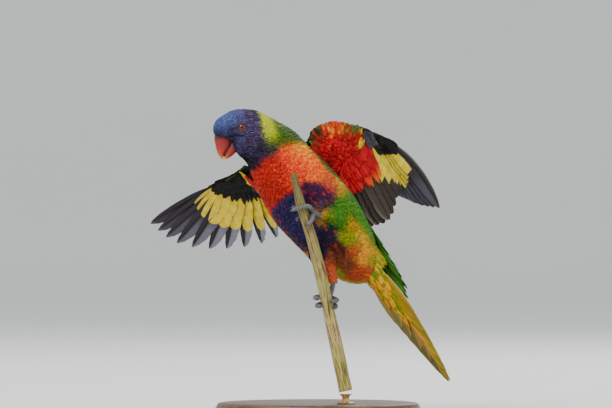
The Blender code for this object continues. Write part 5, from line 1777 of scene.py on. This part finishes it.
# The stem's centre line from the cut top end to its foot, X, Z, radius
STEM_LINE = (
    (-0.0206, 0.2035, 0.0026), (-0.0175, 0.1900, 0.0034), (-0.0140, 0.1760, 0.0042),
    (-0.0050, 0.1480, 0.0048), (0.0034, 0.1140, 0.0050), (0.0108, 0.0800, 0.0052), (0.0172, 0.0500, 0.0055),
    (0.0232, 0.0210, 0.0058),
)
SHANKS = {
    "left": ((0.0052, -0.0325, 0.1668, 0.0024), (0.0032, -0.0333, 0.1672, 0.0023),
             (-0.0010, -0.0365, 0.1700, 0.0022), (-0.0052, -0.0405, 0.1712, 0.0025)),
    "right": ((0.0122, -0.0322, 0.1160, 0.0024), (0.0128, -0.0328, 0.1133, 0.0023),
              (0.0115, -0.0335, 0.1060, 0.0022), (0.0090, -0.0360, 0.1000, 0.0025)),
}
TOES = {
    "left": {
        "outer": ((-0.0052, -0.0405, 0.1722), (-0.0072, -0.0480, 0.1758), (-0.0108, -0.0518, 0.1765),
                  (-0.0165, -0.0515, 0.1750), (-0.0215, -0.0495, 0.1735)),
        "inner": ((-0.0050, -0.0410, 0.1700), (-0.0048, -0.0470, 0.1672), (-0.0058, -0.0512, 0.1640),
                  (-0.0092, -0.0525, 0.1608)),
        "hind": ((-0.0058, -0.0392, 0.1722), (-0.0105, -0.0368, 0.1742), (-0.0165, -0.0368, 0.1752),
                 (-0.0212, -0.0405, 0.1757)),
        "thumb": ((-0.0060, -0.0395, 0.1695), (-0.0095, -0.0368, 0.1680), (-0.0145, -0.0370, 0.1668),
                  (-0.0178, -0.0405, 0.1655)),
    },
    "right": {
        "outer": ((0.0085, -0.0365, 0.1003), (0.0035, -0.0368, 0.1005), (-0.0015, -0.0400, 0.1000),
                  (-0.0025, -0.0460, 0.0995), (0.0000, -0.0508, 0.0990)),
        "inner": ((0.0085, -0.0368, 0.0985), (0.0045, -0.0372, 0.0950), (0.0000, -0.0405, 0.0935),
                  (-0.0008, -0.0462, 0.0928), (0.0020, -0.0512, 0.0925)),
        "hind": ((0.0095, -0.0365, 0.1000), (0.0138, -0.0385, 0.0985), (0.0158, -0.0435, 0.0975),
                 (0.0142, -0.0490, 0.0968), (0.0115, -0.0520, 0.0965)),
        "thumb": ((0.0092, -0.0368, 0.0985), (0.0130, -0.0390, 0.0945), (0.0150, -0.0440, 0.0922),
                  (0.0138, -0.0490, 0.0915)),
    },
}
TOE_RADIUS = (0.0021, 0.0016)
TOE_STEPS = 18
TOE_SIDES = 18
SCUTE_STEP = 0.0014
PAD_STEP = 0.0046
CLAW_LENGTH = 0.0065
CLAW_RADIUS = 0.0012
CLAW_GRID = (16, 12)


def stem_middle(height):
    """The stem's centre at a height, straight between the rows of its line."""
    rows = np.array(STEM_LINE)[::-1]
    return np.array((np.interp(height, rows[:, 1], rows[:, 0]), STEM_Y, height))


def scaly_tube(rows, toward, scute, pad):
    """Rings round a toe or shank, with scutes across its upper side and pads below.

    Radius·(1 + scute·|sin(pi·reach / step)| above + pad·sin²(pi·reach / pad step) below), where toward is the
    point that its underside faces. The second result is 1 at the crest of a scute and 0 in the furrow, and
    the third is 1 above and 0 below.
    """
    at = np.linspace(0, len(rows) - 1, (len(rows) - 1) * TOE_STEPS)
    line = curve_through(rows, at)
    reach = np.concatenate([[0], np.cumsum(np.linalg.norm(np.diff(line[:, :3], axis=0), axis=1))])
    ahead = curve_ahead(rows, at)
    down = square_to(toward - line[:, :3], ahead)
    across = np.cross(ahead, down)
    turn = full_turn(TOE_SIDES)[None]
    below = 0.5 + 0.5 * np.cos(turn)
    crest = np.abs(np.sin(math.pi * reach / SCUTE_STEP))[:, None] ** 0.7
    swell = np.sin(math.pi * reach / PAD_STEP)[:, None] ** 2
    size = line[:, 3:4] * (1 + scute * (crest - 0.5) * (1 - below) + pad * swell * below**2)
    size[-3:] *= 0.97
    rings = line[:, None, :3] + size[..., None] * circle(down[:, None], across[:, None], turn)
    return rings, crest + 0 * below, 1 - below + 0 * crest


def foot_material():
    """Scutes pale on the crests and dark in the furrows, their own tone with painted highlight and shade, and
    blue-grey pads, finely pitted, with a dull sheen.
    """
    made, tree, place = new_material("foot scales", Roughness=0.5)
    pits = cells(tree, place, 1300.0)
    # Crests pale and furrows near black: the scales' own tone, with painted highlight on the crests and
    # painted shade in the furrows
    scutes = ramp(tree, stored(tree, "crest"), (0.35, (0.010, 0.010, 0.014)), (1.0, (0.150, 0.138, 0.136)))
    pads = ramp(tree, pits, (0.0, (0.110, 0.105, 0.120)), (1.0, (0.035, 0.035, 0.046)))
    colour = blended(tree, stored(tree, "above"), pads, scutes)
    coated(tree, tinted(tree, colour, noise(tree, place, 500.0, 4.0), 0.6, 1.4), pits, 0.5, 0.0002)
    return made


def toe_rows(line):
    """A toe's rows of X, Y, Z, radius, slimmer to the claw."""
    share = np.linspace(0, 1, len(line))
    return [(*p, TOE_RADIUS[0] * (1 - k) + TOE_RADIUS[1] * k) for p, k in zip(line, share)]


def claw_rings(line, toward):
    """Rings of a claw that goes on from the toe's end and thins to a point.

    Toe's end + ahead·(1 - 0.35 s)·0.75·length·s + hook·0.45·length·s²
    """
    rows = curve_through(toe_rows(line), np.array((len(line) - 1.5, len(line) - 1.0)))[:, :3]
    ahead = unit(rows[1] - rows[0])
    hook = square_to(toward - rows[1], ahead)
    s = np.linspace(0, 1, CLAW_GRID[0])[:, None]
    reach = CLAW_LENGTH * s
    middle = rows[1] + ahead * (0.75 * reach * (1 - 0.35 * s) - 0.0006) + hook * 0.45 * reach * s
    run = unit(np.gradient(middle, axis=0))
    across = unit(np.cross(run, hook))
    up = np.cross(across, run)
    size = CLAW_RADIUS * (1 - 0.88 * s**1.3)
    rings = circle(across[:, None] * 0.8, up[:, None] * 1.1, full_turn(CLAW_GRID[1])[None])
    return middle[:, None] + size[..., None] * rings


def claw_material():
    """Dark grey horn, paler along its grain."""
    made, tree, place = new_material("claw horn", Roughness=0.3, Coat_Weight=0.3)
    coated(tree, ramp(tree, noise(tree, place, 700.0, 4.0), (0.0, (0.012, 0.011, 0.013)),
                      (1.0, (0.075, 0.066, 0.072))))
    return made


def make_feet():
    scales, horn = foot_material(), claw_material()
    for side, toes in TOES.items():
        lines = [(SHANKS[side], stem_middle(SHANKS[side][-1][2]), 0.18, 0.0)]
        for line in toes.values():
            lines.append((toe_rows(line), stem_middle(np.mean([p[2] for p in line])), 0.24, 0.18))
        tubes = [scaly_tube(*line) for line in lines]
        foot = body_object("scaly_foot_" + side, [closed_tube(rings) for rings, _, _ in tubes], scales)
        number_points(foot, "crest", np.concatenate([closed_ends(crest) for _, crest, _ in tubes]))
        number_points(foot, "above", np.concatenate([closed_ends(above) for _, _, above in tubes]))
        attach(foot, "root")
        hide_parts("foot_" + side)
        for toe, line in toes.items():
            claw = body_object(f"nail_{side}_{toe}",
                               [closed_tube(claw_rings(line, stem_middle(line[-1][2])))], horn)
            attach(claw, "root")
            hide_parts(f"claw_{side}_{toe}")


make_feet()

# The stem
# A cut length of palm leaf stalk: ribbed along its length, green-tan with brown and pink streaks, darker
# towards the cut top end. It stands in the cup of the stand's rod.

STEM_GRID = (220, 64)


def stretched(tree, places, factors):
    """places with each axis times its own factor."""
    return add_node(tree, "ShaderNodeVectorMath", {0: places, 1: factors}, operation="MULTIPLY").outputs[0]


def stem_material():
    """Streaks along the stalk on its own map: tan, green, pinkish and brown, ribbed, and darker upwards."""
    made, tree, place = new_material("palm stalk", Roughness=0.6, Specular_IOR_Level=0.3)
    uv = add_node(tree, "ShaderNodeUVMap", uv_map="stalk").outputs["UV"]
    streak = noise(tree, stretched(tree, uv, (11.0, 1.0, 1.0)), 1.6, 5.0, Roughness=0.62)
    colour = ramp(tree, streak, (0.30, (0.026, 0.011, 0.007)), (0.39, (0.110, 0.055, 0.024)),
                  (0.45, (0.230, 0.210, 0.030)), (0.51, (0.340, 0.320, 0.070)), (0.56, (0.440, 0.250, 0.150)),
                  (0.62, (0.085, 0.030, 0.018)), (0.70, (0.280, 0.250, 0.050)))
    ribs = noise(tree, stretched(tree, uv, (60.0, 6.0, 1.0)), 1.0, 3.0)
    height = add_node(tree, "ShaderNodeSeparateXYZ", {0: place}).outputs["Z"]
    lower = add_node(tree, "ShaderNodeMapRange", {"Value": height, "From Min": 0.20,
                                                  "From Max": 0.09}).outputs[0]
    colour = tinted(tree, tinted(tree, colour, ribs, 0.35, 1.45), lower, 0.40, 1.12)
    coated(tree, tinted(tree, colour, noise(tree, place, 420.0, 3.0), 0.7, 1.25), ribs, 0.6, 0.0004)
    return made


def make_stem():
    at = np.linspace(0, len(STEM_LINE) - 1, STEM_GRID[0])
    line = [(x, STEM_Y, z, r) for x, z, r in STEM_LINE]
    rows, ahead = curve_through(line, at), curve_ahead(line, at)
    front = square_to(np.array((0.0, -1.0, 0.0)), ahead)
    turn = full_turn(STEM_GRID[1])[None] + math.pi
    reach = np.concatenate([[0], np.cumsum(np.linalg.norm(np.diff(rows[:, :3], axis=0), axis=1))])[:, None]
    # Ribs, a flat groove along the front, and slow swellings, all within the stem's own radius
    ribs = 0.016 * np.sin(turn * 13 + reach * 25) + 0.012 * np.sin(turn * 22 - reach * 40 + 1.0)
    groove = -0.10 * np.exp(-((((turn - math.pi * 1.9) % (2 * math.pi) - 0.3) / 0.5) ** 2))
    swell = 0.020 * np.sin(reach * 95) + 0.015 * np.sin(reach * 231 + 2.0)
    size = rows[:, 3:4] * (0.99 + ribs + groove + swell)
    side = np.cross(ahead, front)
    rings = rows[:, None, :3] + size[..., None] * circle(front[:, None], side[:, None], turn)
    # The cut end slants and its rim is a little broken
    rings[0, :, 2] += 0.0012 * np.cos(turn[0] + 0.8) + 0.0004 * np.sin(turn[0] * 5)
    stalk = body_object("palm_stalk", [closed_tube(rings)], stem_material())
    # On the map, a triangle across the seam takes its low corners a whole turn up
    uv = closed_ends(np.stack([turn / (2 * math.pi) + 0 * reach, reach / 0.05 + 0 * turn], -1))
    uv = uv[corner_points(stalk)].reshape(-1, 3, 2)
    wraps = np.ptp(uv[..., 0], axis=1) > 0.5
    uv[..., 0] += (wraps[:, None] & (uv[..., 0] < 1.0)) * 1.0
    corner_map(stalk, "stalk", uv)
    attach(stalk, "root")
    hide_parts("perch_stem")


make_stem()

# The stand
# A round turned hardwood base with a moulded edge, and a short brushed brass rod that rises from a flange
# screwed to it and holds the stem's foot in a cup.

# Radius and height along the outline
BASE_PROFILE = (
    (0.0005, 0.0), (0.0860, 0.0), (0.0874, 0.0004), (0.0880, 0.0018), (0.0880, 0.0045), (0.0872, 0.0056),
    (0.0864, 0.0062), (0.0862, 0.0072), (0.0856, 0.0086), (0.0840, 0.0096), (0.0815, 0.0100),
    (0.0005, 0.0100),
)
ROD_PROFILE = (
    (0.0072, 0.0103), (0.0075, 0.0106), (0.0075, 0.0112), (0.0068, 0.0116), (0.0045, 0.0119),
    (0.0031, 0.0124), (0.0030, 0.0130), (0.0030, 0.0160), (0.0034, 0.0167), (0.0046, 0.0176),
    (0.0057, 0.0184),
)


def turned_body(profile, centre, sides, per_step):
    """Rings of a body of revolution about an upright axis, with rows set between the profile's own."""
    profile = np.array(profile)
    at = np.linspace(0, len(profile) - 1, (len(profile) - 1) * per_step + 1)
    radius, height = (np.interp(at, np.arange(len(profile)), profile[:, k])[:, None] for k in (0, 1))
    turn = full_turn(sides)[None]
    across, back = centre[0] + radius * np.cos(turn), centre[1] + radius * np.sin(turn)
    return np.stack([across, back, height + 0 * turn], -1)


def wood_material():
    """Dark oiled hardwood, its grain running across the disc with fine pores."""
    made, tree, place = new_material("oiled hardwood", Roughness=0.42, Coat_Weight=0.2, Coat_Roughness=0.3)
    grain = add_node(tree, "ShaderNodeTexWave", {
        "Vector": stretched(tree, place, (9.0, 90.0, 90.0)), "Scale": 0.22, "Distortion": 12.0, "Detail": 5.0,
        "Detail Scale": 1.2}, bands_direction="Y").outputs[1]
    pores = noise(tree, stretched(tree, place, (120.0, 1500.0, 1500.0)), 1.0, 2.0)
    colour = ramp(tree, grain, (0.0, (0.080, 0.036, 0.017)), (1.0, (0.126, 0.058, 0.027)))
    coated(tree, tinted(tree, colour, pores, 0.65, 1.2), pores, 0.15, 0.0002)
    return made


def brass_material():
    """Brushed brass, dulled in patches, brushed round its axis."""
    made, tree, place = new_material("brushed brass", Metallic=1.0, Roughness=0.34)
    brush = noise(tree, stretched(tree, place, (60.0, 60.0, 5200.0)), 1.0, 2.0)
    colour = ramp(tree, noise(tree, place, 300.0, 4.0), (0.0, (0.36, 0.24, 0.095)), (1.0, (0.62, 0.45, 0.20)))
    coated(tree, colour, brush, 0.2, 0.0001)
    return made


def make_stand():
    foot_x = STEM_LINE[-1][0]
    for name, node, profile, centre, sides, finish, slot in (
            ("base_turned", "stand_base", BASE_PROFILE, (0.0, 0.0), 160, wood_material(), "base"),
            ("rod_turned", "stand_rod", ROD_PROFILE, (foot_x, STEM_Y), 48, brass_material(), "rod")):
        body = body_object(name, [closed_tube(turned_body(profile, centre, sides, 2))], finish)
        body.data.set_sharp_from_angle(angle=math.radians(35))
        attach(body, "root")
        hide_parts(node)


make_stand()

# The floor, the light and the camera
# A pale studio bowl under soft lamps, seen from the height and distance of the picture with a long lens.

BOWL_FLAT = 6.0
BOWL_CURVE = 3.0
BOWL_HEIGHT = 7.0
BOWL_GRID = (24, 96)
VIEW_DISTANCE = 5.0
SENSOR = 36
LAMPS_AIM = (0.0, 0.02, 0.15)
# The picture is 612 wide, each of its points 0.85 mm
VIEW_WIDTH = 0.612 * 0.85
VIEW_CENTRE = (-0.0102, 0.1785)


def make_floor():
    bend = np.linspace(0, math.pi / 2, BOWL_GRID[0])
    reach = np.concatenate([[0.001, 0.5, 1.5, 3.0, 4.5], BOWL_FLAT + BOWL_CURVE * np.sin(bend),
                            [BOWL_FLAT + BOWL_CURVE]])
    height = np.concatenate([np.zeros(5), BOWL_CURVE * (1 - np.cos(bend)), [BOWL_HEIGHT]])
    turn = full_turn(BOWL_GRID[1])
    rings = np.stack([reach[:, None] * np.cos(turn), reach[:, None] * np.sin(turn),
                      height[:, None] + 0 * turn], -1)
    rows, around = rings.shape[:2]
    a, b = ring_corners(rows, around)
    floor = mesh_object("studio_floor", rings.reshape(-1, 3),
                        np.stack([a, a + around, b + around, b], -1).reshape(-1, 4))
    made, tree, place = new_material("studio paper", Roughness=0.9, Specular_IOR_Level=0.1)
    coated(tree, ramp(tree, noise(tree, place, 2.0, 3.0), (0.0, (0.74, 0.75, 0.73)),
                      (1.0, (0.78, 0.79, 0.77))))
    floor.data.materials.append(made)


def make_lights():
    lamps = (("key", (-1.3, -1.8, 2.1), 1.4, 85.0, (1.0, 0.97, 0.93)),
             ("fill", (1.9, -1.6, 1.0), 1.8, 22.0, (0.93, 0.96, 1.0)),
             ("rim", (0.8, 1.8, 1.9), 1.2, 40.0, (1.0, 0.98, 0.95)))
    for name, place, size, power, colour in lamps:
        lamp = bpy.data.lights.new(name, "AREA")
        lamp.shape = "DISK"
        lamp.size = size
        lamp.energy = power
        lamp.color = colour
        made = bpy.data.objects.new(name, lamp)
        bpy.context.scene.collection.objects.link(made)
        away = np.array(place) - np.array(LAMPS_AIM)
        made.location = place
        made.rotation_euler = (math.acos(away[2] / np.linalg.norm(away)), 0,
                               math.atan2(away[1], away[0]) + math.pi / 2)
    world = bpy.data.worlds.new("soft daylight")
    bpy.context.scene.world = world
    world.use_nodes = True
    sky = world.node_tree.nodes["Background"]
    sky.inputs["Color"].default_value = (0.93, 0.96, 1.0, 1)
    sky.inputs["Strength"].default_value = 1.1


def make_camera():
    lens = bpy.data.cameras.new("camera")
    lens.sensor_width = SENSOR
    lens.lens = SENSOR * VIEW_DISTANCE / VIEW_WIDTH
    lens.clip_end = 60
    camera = bpy.data.objects.new("camera", lens)
    camera.location = (VIEW_CENTRE[0], -VIEW_DISTANCE, VIEW_CENTRE[1])
    camera.rotation_euler = (math.pi / 2, 0, 0)
    bpy.context.scene.collection.objects.link(camera)
    bpy.context.scene.camera = camera


make_floor()
make_lights()
make_camera()
